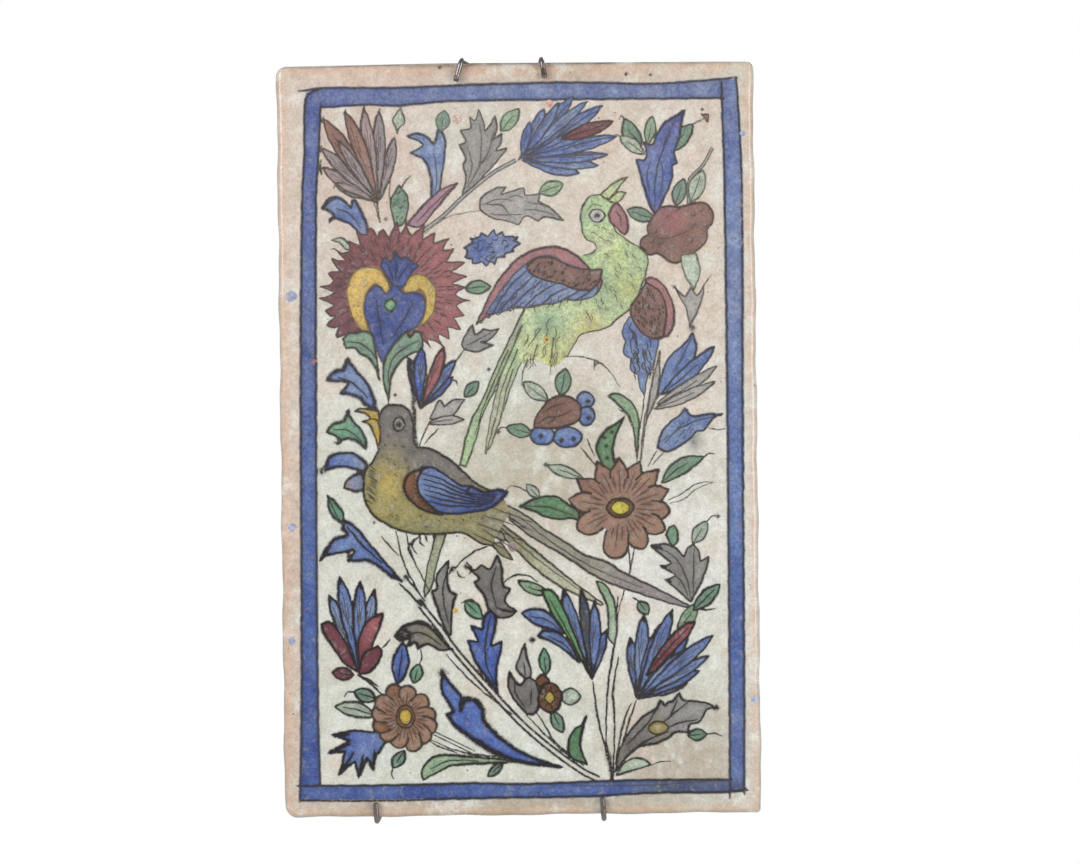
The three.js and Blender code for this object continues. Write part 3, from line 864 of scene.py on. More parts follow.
shape([(4, 71, 1), (8, 74.5), (14, 75), (20, 72), (26, 70), (35, 69.5, 1), (34, 65), (30, 61, 1), (25, 61.5),
       (18, 64), (10, 66), (5, 69)], "brown", 0.6, 0.85)
hatch([(5, 70), (14, 74.5), (26, 69.5), (34, 69), (33.5, 65), (30, 62), (18, 65)], 90, (-1.0, -0.8), 0.55,
      0.85)
shape([(53, 65.5, 1), (56, 66), (60, 63), (63, 58), (64.5, 52), (64, 46), (62, 42, 1), (57, 41), (55, 52)],
      "pink", 0.65, 0.85)
shape([(46, 50, 1), (43, 44), (44.5, 40, 1), (43.5, 35), (46.5, 33, 1), (46.5, 28), (49.5, 26, 1), (50, 21),
       (51.8, 17.5, 1), (53, 24), (56, 31), (58, 40, 1), (54, 46), (50, 49)], "cobalt_pale", 0.4, 0.7,
      second=("sky", (48, 46), (51, 24)))
hatch([(46, 48), (44.5, 36), (48, 28), (51, 22), (55, 32), (57, 42)], 46, (0.7, -4.0), 0.5, 0.8)
shape([(47, 55, 1), (50, 59), (53, 64, 1), (58, 61), (61, 55), (61, 48), (60, 42, 1), (55, 41), (50, 45),
       (47, 50)], "brown", 0.6, 0.85)
hatch([(48, 54), (53, 62.5), (57.5, 60), (60, 54), (60, 43.5), (55, 42.5), (49, 47)], 70, (0.3, -1.2), 0.55,
      0.85)
tell("the upper bird's wings")

# %% The upper bird's neck and head
shape([(26.5, 92, 1), (28, 97), (31, 100), (35, 100.5, 1), (38, 98), (40.5, 97), (41, 92), (40, 88),
       (41, 85, 1), (44, 83), (40, 78), (33, 76), (33, 78.5), (32, 80.5), (29, 82), (27.5, 85), (26.5, 90)],
      "head_green", 0, second=("lime", (34, 92), (40, 78)))
line(0.6, 0.8, (44, 83), (47, 80.5), (50, 79))
line(0.7, 0.85, (35, 100.5), (31, 100), (28, 97), (26.5, 92), (27.3, 85), (29, 82), (32, 80.5), (33, 78.5))
line(0.55, 0.8, (40, 88), (41, 85), (44, 83))
for u, v in ((31, 85), (34, 83), (37, 81.5), (35, 87), (38, 84.5), (32, 88)):
    line(0.35, 0.55, (u, v), (u + 1.4, v - 0.4), (u + 2.2, v - 1.3))
shape([(35, 100.5, 1), (40, 105), (46, 107.5, 1), (42, 103), (39, 99), (37, 98.6)], "lime", 0.6, 0.85)
shape([(38, 98, 1), (42, 101.5), (45, 101, 1), (43, 98), (40.5, 97)], "lime", 0.55, 0.85)
shape([(38, 92, 1), (41, 97), (45, 92), (46, 87), (44.5, 84), (42, 86), (39, 89)], "pink", 0.6, 0.85)
line(0.45, 0.75, (41, 93.5), (43, 90.5), (43, 87.5))
disc(33.3, 91.8, 3.2, "white", 2.7, 0.5, 0.85)
dot(33.4, 91.8, 1.05, 1)
line(0.4, 0.6, (29, 94), (31.5, 96.3), (35.5, 95.8))
tell("the upper bird's neck and head")

# %% [markdown]
# ## The right middle
# Grey buds and a tulip at the top, a rosette of brown petals at the bottom, and between them a half-open
# flower, a spotted curled leaf and a blue bell. The rosette is one petal repeated round a heart, some
# petals blunt and some pointed.

# %% The right middle: buds, tulip and blades
for row in ([(68, 73), (70, 66), (73, 62)], [(72, 76), (75, 70), (73, 61)],
            [(70.5, 72), (72.5, 67), (73, 62)]):
    line(0.6, 0.65, *row)
shape([(67.5, 75, 1), (69, 67), (73, 61, 1), (75.5, 69), (73.5, 76, 1)], "whitish", 0.5, 0.65)
shape([(65, 62, 1), (67, 58), (69.5, 53), (71, 46, 1), (74, 52), (76, 57), (77, 63, 1), (74, 58.5),
       (71.5, 62, 1), (69, 58)], "grey_pale", 0.5, 0.75)
line(0.55, 0.75, (76.5, 62), (78.5, 65), (80, 67))
dot(71.8, 45, 1.1, 0.85)
shape([(58.5, 36, 1), (55, 22), (51.5, 6), (50, -9, 1), (52.3, 6), (57.5, 20)], "grey_pale", 0.45, 0.65)
for row in ([(52, 18), (50, 4)], [(57, 36), (54.5, 20), (51.5, 0), (50, -10)], [(60, 22), (57, 16), (54, 10)],
            [(49, 0), (48.5, -10)], [(19, 34), (28, 33.5), (36, 29.5), (42, 21)]):
    line(0.5, 0.75, *row)
for turn in range(5):
    line(0.5, 0.8, (36, 29.5), (34.5 - turn * 0.7, 31 + turn * 0.3), (32.5 - turn * 0.3, 31.5 - turn * 0.8))
shape([(72, 43, 1), (73.5, 36), (70, 29), (64, 22), (57, 17, 1), (59, 26), (63, 34), (68, 38)], "cobalt_pale",
      0.6, 0.85)
leaf((59, 18), (81, 37.5), 5.5, "cobalt_pale", 0.6, 0.9, bend=-0.8)
leaf((57, 14), (82, 29.5), 4.5, "grey_pale", 0.5, 0.75, bend=-0.8)
leaf((56, 12), (81, 23), 4.2, "grey_pale", 0.5, 0.75, bend=-0.6)
line(0.45, 0.7, (64, 27), (68, 34), (71.5, 41))
stain(57, 104, 8, "cobalt_pale", 0.6)
tell("the right middle: buds, tulip and blades")

# %% The right middle: half-open flower, curled leaf, bell
leaf((12, 16), (2, 23.5), 6, "whitish", 0.5, 0.8, vein=0.8)
leaf((17.5, 18), (19.5, 29), 6.5, "green", 0.55, 0.85, vein=0.8)
leaf((5.5, 2.5), (-5, 5), 5.5, "green", 0.5, 0.8)
line(0.5, 0.75, (-5, 5), (-7.5, 5), (-8.6, 3.3))
dot(-8.6, 3.3, 0.8, 0.85)
for u, v, wide, high in ((27.6, 16, 3.6, 3.3), (28, 9.4, 3.3, 4), (20, 0.8, 6, 4.2), (9.7, 1.8, 5, 4.1)):
    disc(u, v, wide, "cobalt_pale", high)
shape([(6.5, 5, 1), (7, 9), (10, 13, 1), (13, 16.5), (18, 18, 1), (22, 17), (25.5, 14, 1), (25.5, 9),
       (22.5, 6.5), (18, 5, 1), (12, 4.5)], "brown", 0.6, 0.9)
stain(15, 12, 4, "rust_red", 0.6)
for row in ([(8, 6.5), (12, 9), (17, 9.5), (22, 12)], [(10, 11), (14, 13.5), (19, 14.5)],
            [(12, 6.5), (15, 8.5), (16, 12)]):
    line(0.5, 0.75, *row)
for u, v in ((17.5, -0.5), (22.5, 0), (9, 1.4), (28.8, 8.6), (28.6, 15.4)):
    dot(u, v, 0.75, 0.9)
shape([(37, 17.5, 1), (40, 18.5), (44, 17), (47, 14), (49, 10), (49.5, 5), (48.5, -8, 1), (47, 5), (45.5, 9),
       (43, 12), (40, 15)], "mint", 0.6, 0.85)
line(0.45, 0.7, (41, 12.5), (44.5, 9.5), (46.5, 5))
shape([(43.5, 9, 1), (40, 6), (36, 3.5), (33.5, 0.5), (32, -4), (33.5, -9), (36, -13), (39.5, -15.5),
       (41.5, -14, 1), (39, -8), (38.5, -4), (39.5, 0), (41, 4)], "green_deep", 0.75, 0.95)
for u, v in ((38.3, 2.6), (36, -3), (36.3, -8), (38.6, -12.6), (35.4, 0.4)):
    dot(u, v, 0.55, 0.9)
for row in ([(57, -5), (55, -8), (53, -11.5)], [(59.5, -6), (57.5, -8), (55, -11)],
            [(78, 4), (81.5, 3.2), (85, 3.5)]):
    line(0.5, 0.8, *row)
shape([(57, -4, 1), (58, 0), (60, 4), (63, 7), (66, 9), (68.5, 12, 1), (71, 9), (78, 9.5), (84, 9.5, 1),
       (80, 8), (78, 5), (76, 3), (73, 2.5), (71, 0), (68, -2), (65, -4), (61, -5.5)], "sky", 0.65, 0.9)
stain(72.2, -1.5, 2.6, "slate", 0.75, 3.6, anywhere=True)
hatch([(58, -3), (60, 3), (66, 7), (76, 8), (74, 3), (66, -2)], 16, (1.5, 1.6), 0.4, 0.6)
line(0.5, 0.75, (60, -2), (65, 3), (72, 6.5), (80, 8.7))
stain(70, 4, 6, "cobalt_pale", 0.7)
line(1.3, 0.95, (67, 10), (68.5, 12), (70, 10.2))
leaf((58.5, -18.5), (76, -8), 6, "green", 0.6, 0.85, bend=1.5)
line(0.6, 0.8, (76, -8), (78.5, -6.6), (80.5, -6.8))
line(0.5, 0.75, (61, -25.5), (66, -23.5), (71, -20), (76, -18.3), (80, -18.5))
line(0.45, 0.65, (62, -27), (68, -25), (73, -21), (80, -18.5))
leaf((26, -16), (11.5, -10.8), 4.5, "whitish", 0.5, 0.8)
dot(11, -10.5, 0.7, 0.9)
line(0.45, 0.65, (8, -24), (-3, -19), (-8, -24))
leaf((8, -24), (3, -18.5), 4, "whitish", 0.5, 0.75)
shape([(0, -27.5, 1), (5, -25), (10, -23.5), (16, -24), (20, -27), (24, -29.5), (26.5, -34.5, 1), (21, -32.5),
       (16, -33), (10, -31.5), (5, -29)], "green_deep", 0.7, 0.95)
line(0.5, 0.8, (3, -27.3), (12, -28), (22, -31.5))
leaf((24, -33.5), (28, -30), 3.5, "grey_deep", 0.5, 0.85)
tell("the right middle: half-open flower, curled leaf, bell")

# %% The right middle: the rosette
for row in ([(25.5, -3.5), (29, -8), (33, -12.5)], [(28, 0), (29.5, -3.5), (31, -7)],
            [(44, -40), (45.5, -55)], [(47.5, -42), (45, -55), (41, -68), (39.5, -75)]):
    line(0.6, 0.85, *row)


def rosette(centre, petals, heart, colour, second, heart_colours, tone=0.9, width=0.65):
    """Petals round a heart. Each is (its middle u, v, how far it reaches, how pointed from 0 to 1).

    The heart is given by half its width and half its height, and the colours of its rim and of its middle.
    """
    spread = []
    for u, v, reach, point in petals:
        out = np.subtract((u, v), centre)
        out = out / np.linalg.norm(out)
        side = np.array([-out[1], out[0]])
        tip = 1 + 0.45 * point
        rim = [tuple(np.array((u, v)) + out * reach * a + side * reach * b) for a, b in (
            (-2.4, -0.4), (-0.3, -0.95), (0.6, -0.85 + 0.35 * point), (tip, 0.0),
            (0.65, 0.8 - 0.3 * point), (-0.3, 1), (-2.4, 0.4))]
        if point > 0.5:
            rim[3] = (*rim[3], 1)
        shape(rim, hand.choice((colour, second)), width, tone)
        stain(*(np.array((u, v)) + out * reach * 0.3), reach * 0.5, second, 0.5)
        spread.append(np.array((u, v)) - out * reach * 0.75)
    order = sorted(spread, key=lambda p: math.atan2(p[1] - centre[1], p[0] - centre[0]))
    shape([tuple(p) for p in order], second, 0)
    stain(*centre, 0.8 * math.dist(centre, petals[0][:2]), colour, 0.95)
    for i, (u, v, reach, _) in enumerate(petals):
        run = np.array((u, v)) - centre
        for share, end, turn in ((0.42, 1.02, 0.0), (0.5, 0.86, 0.16), (0.55, 0.8, -0.15)):
            side = np.array([-run[1], run[0]]) * turn
            line(width * 0.7, tone * 0.65, tuple(centre + run * share + side * 0.7),
                 tuple(centre + run * end + side), taper=(0.5, 1, 0.4))
    wide, high = heart
    for size, look in zip((1.45, 1), heart_colours):
        disc(*centre, wide * size, look, high * size, 0.5, tone)


rosette((41.4, -28.5), [
    (47.5, -14.5, 3.9, 1), (53.5, -16.8, 3.8, 1), (34.5, -14.5, 3.9, 1), (28.3, -19.5, 4.0, 1),
    (56.5, -23, 3.9, 0.8), (25.6, -25.8, 4.2, 0.6), (57.3, -29.8, 3.9, 0.3), (28.5, -34.8, 4.8, 0.2),
    (55, -35.8, 4.2, 0.5), (48.5, -41, 4.4, 0.3), (39.3, -44, 5.2, 0.1), (41.2, -13.5, 3.9, 1)], (3.9, 2.8),
        "tan_pale", "rose_brown", ("rust", "yellow"))
shape([(60, -40, 1), (61.5, -37), (63.5, -36, 1), (65, -39), (64.5, -43), (62.5, -44.5, 1)], "green", 0.6,
      0.9)
leaf((71, -43.5), (77, -34.5), 5.5, "whitish", 0.5, 0.8)
line(0.5, 0.8, (77, -34.5), (79, -32.5), (81.5, -32.5))
dot(81.5, -32.5, 0.7, 0.9)
shape([(70, -67.5, 1), (65, -63), (60, -58.5, 1), (63.5, -56.5), (58, -53, 1), (62, -51.5), (58, -48),
       (54, -44.5, 1), (59, -43.5), (64, -45.5), (67.5, -49, 1), (69, -45.5), (71.5, -43.8, 1), (73.5, -47),
       (74, -51, 1), (77.5, -49, 1), (76.5, -54), (74, -60)], "grey", 0.6, 0.85)
for row in ([(70, -66), (68, -57), (63, -48.5), (57, -45.5)], [(71, -64), (71.3, -54), (71.6, -46)],
            [(69, -65), (66, -59), (61, -54)]):
    line(0.5, 0.7, *row)
stain(66, -55, 6, "grey_deep", 0.7)
for u, v in ((54.7, -44.6), (58.4, -53), (60.3, -58.8), (57, -45)):
    line(1.3, 0.95, (u - 0.8, v + 0.6), (u + 0.4, v), (u + 1.6, v - 0.5))
tell("the right middle: the rosette")

# %% [markdown]
# ## The great peony
# A maroon flower with a ragged edge, two yellow scrolls and a blue heart, standing on two green sepals. Its
# edge is a row of pointed tips of uneven depth, worked out round the flower from a few reaches.

# %% The great peony
def ragged(points, teeth, depth):
    """A closed curve whose edge is broken into pointed teeth, pointing away from its middle."""
    smooth = curve(points, closed=True, spacing=0.5)
    middle = smooth.mean(axis=0)
    spots = np.linspace(0, len(smooth), teeth, endpoint=False)
    step = len(smooth) / teeth
    outline = []
    for spot in spots:
        lean = hand.uniform(-0.18, 0.18)
        notch, point = hand.uniform(-0.8, -0.2), hand.uniform(0.5, 1.7)
        for shift, reach, sharp in ((0, notch, (1,)), (0.25, 0.2, ()), (0.5 + lean, point, (1,)),
                                    (0.66 + lean, 0.3, ())):
            at = smooth[int(spot + shift * step) % len(smooth)]
            away = (at - middle) / np.linalg.norm(at - middle)
            outline.append((*(at + away * (depth * reach)), *sharp))
    return outline


shape(ragged([(-62, 86), (-55, 85), (-47, 86), (-38, 84), (-31, 80), (-27, 74), (-25, 66), (-24, 58),
              (-25, 51), (-29, 45), (-36, 41), (-41, 43), (-50, 36), (-58, 38), (-64, 44), (-70, 43),
              (-75, 46), (-76.5, 54), (-76.5, 62), (-75, 70), (-71, 77), (-66, 82)], 34, 3.0), "maroon", 0.45,
      0.65, second=("rose", (-76, 66), (-24, 60)), spacing=1.0)
STROKES, STROKE_HALF = 44, 1.6  # short strokes in each ring over the petals, and half the length of one
for ring in (0.62, 0.76, 0.9):
    for i in range(STROKES):
        angle = i / STROKES * 2 * math.pi + ring * 3 + hand.uniform(-0.08, 0.08)
        if math.sin(angle) > -0.93:  # not where the stalk joins
            u, v = -50.5 + 25.5 * ring * math.cos(angle), 62 + 23.5 * ring * math.sin(angle)
            out_u, out_v = math.cos(angle) * STROKE_HALF, math.sin(angle) * STROKE_HALF
            line(0.5, 0.6, (u - out_u, v - out_v), (u + hand.uniform(-0.6, 0.6), v), (u + out_u, v + out_v),
                 spacing=1.6)
shape([(-62, 44, 1), (-66, 48), (-69, 55), (-70, 62), (-68, 68), (-64, 71.5), (-59, 71.5), (-56, 70),
       (-53.5, 66), (-52.5, 62.5), (-54, 60.5, 1), (-56, 62), (-58, 65), (-62, 61), (-63, 56), (-62.5, 50),
       (-60.5, 44, 1)], "straw", 0.5, 0.45)
shape([(-46, 61), (-47, 64), (-45, 67), (-41, 68.5), (-37, 67), (-34, 63), (-33.5, 58), (-35, 52),
       (-38, 48.5), (-41, 47, 1), (-39, 50), (-37.5, 55), (-38, 60), (-40, 62.5), (-42.5, 61), (-44, 60, 1)],
      "ochre", 0.5, 0.45)
shape([(-56, 33, 1), (-59, 40), (-61, 47), (-63, 54), (-62, 60), (-59.5, 63), (-57, 64), (-54, 60.5, 1),
       (-52, 63), (-50.5, 66, 1), (-46.5, 61), (-42, 61), (-38.5, 59), (-38, 54), (-40, 49), (-43, 46),
       (-50, 41), (-53, 36), (-55, 31, 1)], "lapis", 0.6, 0.6, second=("cobalt_deep", (-40, 60), (-62, 40)))
shape([(-51, 64, 1), (-54, 69), (-56, 72.5), (-54.5, 75.5, 1), (-52, 74), (-50, 78, 1), (-48, 75),
       (-45.5, 76, 1), (-43.5, 74), (-40.5, 72, 1), (-43, 69.5), (-47, 63, 1)], "lapis", 0.6, 0.75)
for row in ([(-51, 66), (-52, 70), (-54, 74)], [(-50, 66), (-49.6, 71), (-50, 76)],
            [(-49, 66), (-46.5, 70), (-44, 73)], [(-58, 58), (-57, 50), (-55.5, 40)],
            [(-43, 57), (-46, 51), (-52, 42)]):
    line(0.5, 0.8, *row)
shape([(-54.7, 56), (-52.2, 58.6), (-49.8, 56), (-52.2, 53.4)], "green_jade", 0.75, 0.95)
line(0.8, 0.9, (-53.5, 33), (-53.6, 25), (-53.5, 15))
shape([(-72, 42.5, 1), (-69, 44.6), (-66, 44.5, 1), (-63, 45.5), (-60, 44), (-59, 40), (-57, 25, 1),
       (-58.5, 30), (-62, 35), (-65, 36, 1), (-67, 38.5), (-70.5, 38.5, 1)], "green", 0.7, 0.9)
shape([(-45.5, 45.5, 1), (-44.5, 42.5), (-42.5, 45, 1), (-40, 44.5), (-39, 39, 1), (-40, 37), (-44, 36),
       (-49, 32), (-52, 27), (-53.5, 17, 1), (-55.5, 26), (-55, 32), (-53, 37), (-49, 42)], "green", 0.7, 0.9)
line(0.5, 0.8, (-70, 41), (-64, 40), (-59, 35), (-57, 29))
line(0.5, 0.8, (-41, 41), (-47, 38), (-52, 33), (-53.8, 24))
tell("the great peony")

# %% Beside the peony: bud, leaves and a small fan
shape(ragged([(-21, 78), (-17, 83), (-12, 84.5), (-6, 84.5), (0, 81.5), (-2, 78), (-7, 75), (-12, 72.5),
              (-18, 74)], 13, 1.1), "cobalt_pale", 0.55, 0.85, second=("sky", (-20, 76), (-4, 82)),
      spacing=1.0)
hatch([(-20, 80), (-8, 84), (-3, 80), (-8, 74), (-18, 74)], 26, (2.0, 1.0), 0.5, 0.75, bow=0.6)
stain(-12, 78, 5, "cobalt", 0.6)
leaf((-21.5, 62.5), (-11, 63.3), 5.5, "green", 0.6, 0.85, vein=0.8)
line(0.5, 0.8, (-24, 62), (-21.5, 62.5))
shape([(-22, 37.5, 1), (-23, 39.5), (-20.5, 45), (-18.5, 47.3, 1), (-17.5, 43.5), (-14, 45.5, 1), (-11, 45),
       (-7.5, 45.8, 1), (-12, 41), (-15.5, 40.3, 1), (-10, 39, 1), (-15, 37), (-18, 36.3)], "grey", 0.55,
      0.85)
line(0.45, 0.7, (-21, 39), (-17, 41), (-11, 44))
for row in ([(-36.5, 8), (-39, 3), (-41, -2.5)], [(-33, 5), (-36, 2), (-39, -1.5)]):
    line(0.6, 0.85, *row)
shape([(-36.5, 9, 1), (-32.5, 16.5), (-30.5, 14, 1), (-27, 16.5), (-22, 16.8, 1), (-28, 9.5), (-32, 9)],
      "grey_pale", 0.55, 0.85)
leaf((-37, 7), (-22.5, 8.5), 3.6, "grey_pale", 0.5, 0.8, bend=0.6)
leaf((-22, 18), (-16.5, 24), 4.8, "green", 0.55, 0.85)
fan((-40.5, 13), [(-27, 26, 4.2, "cobalt"), (-25.5, 33, 4.5, "cobalt_pale"), (-30.5, 38.5, 4.6, "rose"),
                  (-45, 34, 4, "cobalt_deep"), (-39.5, 38.5, 5, "cobalt")], 0.7, 0.95)
line(0.7, 0.9, (-28, 25), (-25.5, 24.5), (-25, 22.5))
line(0.6, 0.85, (-26, 32), (-23, 36), (-21, 38))
line(1.4, 1, (-44.5, 32), (-43.4, 21), (-43, 10), (-42.5, 0), (-41.5, -2.7), taper=(0.7, 1, 0.8))
tell("beside the peony: bud, leaves and a small fan")

# %% Behind the lower bird: leaves at the left
shape([(-70, 34, 1), (-67, 29.5), (-63, 25), (-60, 19), (-58.5, 13, 1), (-62, 14.5), (-66, 18.5),
       (-73, 20, 1), (-70, 24), (-78.5, 25.5, 1), (-76, 28.5), (-72, 29.5, 1)], "cobalt_pale", 1.1, 1)
line(0.7, 0.9, (-74, 26.5), (-68, 24), (-62, 18))
shape([(-79, 4, 1), (-76, 7.5), (-72, 8.5), (-70, 13, 1), (-68.5, 8.6), (-65, 5), (-63, 0), (-63, -3, 1),
       (-67, 0.5), (-72, 1), (-74.5, -0.8, 1), (-74.8, 2)], "green_jade", 0.9, 0.95)
line(0.9, 1, (-76, 0), (-74.5, -1), (-73, 0.6), (-74, 1.8))
line(0.5, 0.8, (-76, 5), (-70, 4.5), (-64.5, 0))
shape([(-80, -11.5, 1), (-78, -6.5), (-74, -4.8), (-69, -4.8), (-65, -7), (-62.5, -10, 1), (-64, -12.5),
       (-67, -11.5), (-71, -10.3), (-76, -10.5)], "cobalt", 1.0, 1,
      second=("cobalt_pale", (-80, -10), (-64, -8)))
dot(-81, -12, 1.1, 1)
shape([(-72, -19, 1), (-71, -16), (-68, -14), (-65, -13.5), (-63.5, -19.5, 1), (-67, -20.5)], "cobalt_pale",
      0.8, 0.95, second=("mauve", (-66, -16), (-72, -18)))
shape([(-79, -22, 1), (-75, -26), (-72.5, -30), (-73.5, -33.5, 1), (-76.5, -31), (-78.5, -27)], "green_jade",
      0.8, 0.95)
line(0.5, 0.8, (-79, -22), (-77, -27), (-73.6, -33))
tell("behind the lower bird: leaves at the left")

# %% [markdown]
# ## The lower bird
# A plump bird with a grey head and back and a yellow breast, standing on the stems, with two long tail
# feathers that sweep to the right. Its wing is a brown crescent with blue feathers drawn as wavy lines.

# %% The lower bird's tail
for row in ([(-51, -37), (-48, -50), (-42, -62), (-39.5, -66)], [(-57, -39), (-53.5, -43.5), (-50, -47)],
            [(-47, -37), (-45, -46), (-41, -55), (-37.5, -62)]):
    line(0.65, 0.9, *row)
shape([(-10, -33, 1), (-3, -38), (3, -43), (10, -49), (16, -54), (22, -59), (34, -68, 1), (33, -68.5, 1),
       (18, -61.5), (11, -57), (5, -52), (-1, -46), (-6, -41), (-11, -36, 1)], "olive", 0.6, 0.85,
      second=("tail_pale", (-4, -42), (14, -54)))
shape([(-5, -27, 1), (3, -31.5), (10, -37), (18, -42), (27, -48), (35, -50.5), (42, -55), (50, -59),
       (58, -63), (70, -69.5, 1), (68, -69.8, 1), (60, -67.5), (45, -62.5), (38, -60), (30, -56), (22, -50.5),
       (15, -46), (8, -42), (2, -38), (-4, -33, 1)], "tail_grey", 0.6, 0.85,
      second=("mauve_pale", (20, -48), (66, -68)))
line(0.45, 0.65, (0, -32), (14, -43), (30, -53), (50, -61.5))
line(0.45, 0.65, (-6, -38), (8, -50), (24, -62))
leaf((-18, -35), (-10, -44), 3.5, "olive", 0.5, 0.85)
leaf((-14, -34), (-6, -41.5), 3.5, "olive", 0.5, 0.85)
shape([(-12, -43, 1), (-8, -42.5), (-3, -49.5, 1), (-7, -48)], "olive", 0.5, 0.8)
for start, end in (((-13, -36), (-7, -43)), ((-9, -35), (-2, -41.5)), ((-5, -31.5), (3, -36.5)),
                   ((-8, -30), (0, -34.5)), ((-15, -39), (-9, -46))):
    line(0.5, 0.85, start, end)
shape([(-5, -43), (-3, -42), (-1, -44.5), (-3.5, -46)], "mauve", 0)
tell("the lower bird's tail")

# %% The lower bird's body and head
lower_body = [(-57, 5, 1), (-57.5, 10), (-55, 14), (-51, 15), (-47, 14), (-44.5, 11.5), (-43.5, 8), (-43, 0),
              (-42, -2.5, 1), (-38, -3), (-34, -4.5), (-30, -7), (-26, -10), (-22, -14), (-18, -17.5),
              (-14, -20), (-8, -23), (-4, -29, 1), (-6, -33), (-9, -38), (-12, -43.5, 1), (-16, -42.5),
              (-20, -40), (-24, -38), (-30, -38.2), (-38, -38.5), (-44, -38), (-50, -36.5), (-55, -34),
              (-59, -31.5), (-62.5, -27), (-64, -22), (-64, -16), (-63, -11.5), (-60, -8), (-57.5, -3)]
shape(lower_body, "head_grey", 0, second=("belly", (-50, -6), (-54, -24)))
for u, v, reach, colour, strength, high in ((-56, -14, 8, "belly", 0.9, 9), (-50, -24, 9, "belly", 0.8, 8),
                                            (-53, -17, 6, "ochre", 0.5, 6), (-34, -36, 16, "olive", 0.9, 4),
                                            (-18, -36, 8, "olive", 0.8, 6), (-61, -22, 4, "belly", 0.7, 9),
                                            (-52, -8, 4, "belly", 0.5, 4)):
    stain(u, v, reach, colour, strength, high)
for row in (lower_body[:19:-1], [(-58, 5), *lower_body[1:9]], [*lower_body[8:16], (-11, -21)]):
    line(0.85, 1, *row, taper=(0.7, 1, 0.7))
stain(-7, -36, 7, "tail_grey", 0.75)
for start, end in (((-15, -31), (4, -37)), ((-17, -34.5), (2, -42)), ((-15, -37), (-1, -46)),
                   ((-11, -28), (5, -34)), ((-19, -38.5), (-6, -45))):
    line(0.45, 0.75, start, end, taper=(0.3, 1, 0.4))
for i in range(16):
    u, v = -63.2 + hand.uniform(0, 2.2), -10.5 - i * 0.9
    line(0.4, 0.75, (u, v), (u + 1.2, v - 0.7), (u + 2.2, v - 1.6))
hatch([(-56, 11), (-46, 12), (-44, 0), (-38, -5), (-44, -13), (-48, -22), (-40, -32), (-16, -31), (-12, -40),
       (-48, -35), (-61, -24)], 90, (0.9, -0.9), 0.4, 0.55)
disc(-49.3, 6.9, 2.5, "grey_pale", 2.9, 0.55, 0.95)
dot(-49.3, 6.7, 1.15, 1)
shape([(-57.5, 12.5, 1), (-61, 13), (-65, 13.5), (-67.5, 12.5, 1), (-63, 11.5), (-60.5, 9), (-59, 5),
       (-57.5, 7, 1)], "ochre", 0.6, 0.9, second=("grey", (-62, 12), (-66, 12)))
shape([(-64.5, 8.2, 1), (-61.5, 7), (-59.5, 3), (-58, -3, 1), (-56.8, 4), (-58, 8.5, 1), (-60, 9.2)], "ochre",
      0.6, 0.9)
for row in ([(-41, -38.5), (-44.5, -43), (-42.5, -46.5)], [(-41, -39), (-41, -42), (-39.5, -43.5)],
            [(-39, -39), (-38, -41.5)], [(-36, -39), (-35, -41)],
            [(-13, -43.5), (-19, -46), (-24, -49.5), (-26, -52)], [(-26, -54), (-25, -56), (-23, -56.5)],
            [(-22, -50), (-20, -52.5), (-21, -55)], [(-43.5, -40), (-46, -44), (-44.5, -48)],
            [(-26, -52), (-28.5, -53), (-29, -55)]):
    line(0.75, 1, *row)
dot(-28, -53, 0.9, 1)
dot(-22.3, -52, 0.8, 1)
tell("the lower bird's body and head")

# %% The lower bird's wing
shape([(-40, -11, 1), (-36, -11), (-32, -13), (-28, -16), (-24, -18.5), (-20, -19, 1), (-14, -21.5),
       (-9, -20.5), (-5, -21.5, 1), (-9, -26), (-14, -28.5), (-20, -29.5), (-28, -30.2), (-35, -28.5),
       (-40, -24), (-42.5, -20), (-42, -16)], "cobalt_pale", 0.8, 1,
      second=("cobalt_deep", (-30, -14), (-18, -28)))
for step in range(6):
    t = step / 5.5
    line(0.6, 0.95, (-40 + t * 1.5, -13.5 - t * 12), (-33 + t, -15.5 - t * 12), (-25, -19.8 - t * 8),
         (-17, -22.5 - t * 5.2), (-9 - t * 2, -22.3 - t * 3.5))
line(0.8, 1, (-20, -19.5), (-22, -21), (-20.5, -22.3), (-19, -22))
shape([(-39, -11.5, 1), (-43, -12.5), (-46.5, -15), (-47.5, -18.5), (-46, -23), (-42, -27), (-37, -29.5),
       (-32, -30.5, 1), (-36, -27.5), (-40.5, -23), (-42, -18.5), (-41.5, -14.5)], "tan", 0.8, 1,
      second=("rust", (-40, -12), (-38, -28)))
for i in range(9):
    t = i / 8
    u, v = -43.5 - 2 * math.sin(math.pi * t) + 5.5 * t, -14 - 14 * t
    line(0.5, 0.85, (u, v), (u + 1.0, v - 0.8))
tell("the lower bird's wing")

# %% [markdown]
# ## The lower left
# The strongest drawing of the tile: thick black lines, a blue and red tulip, a tan rosette with leaves all
# round it, and the long blue leaf that curls to the root of the plant.

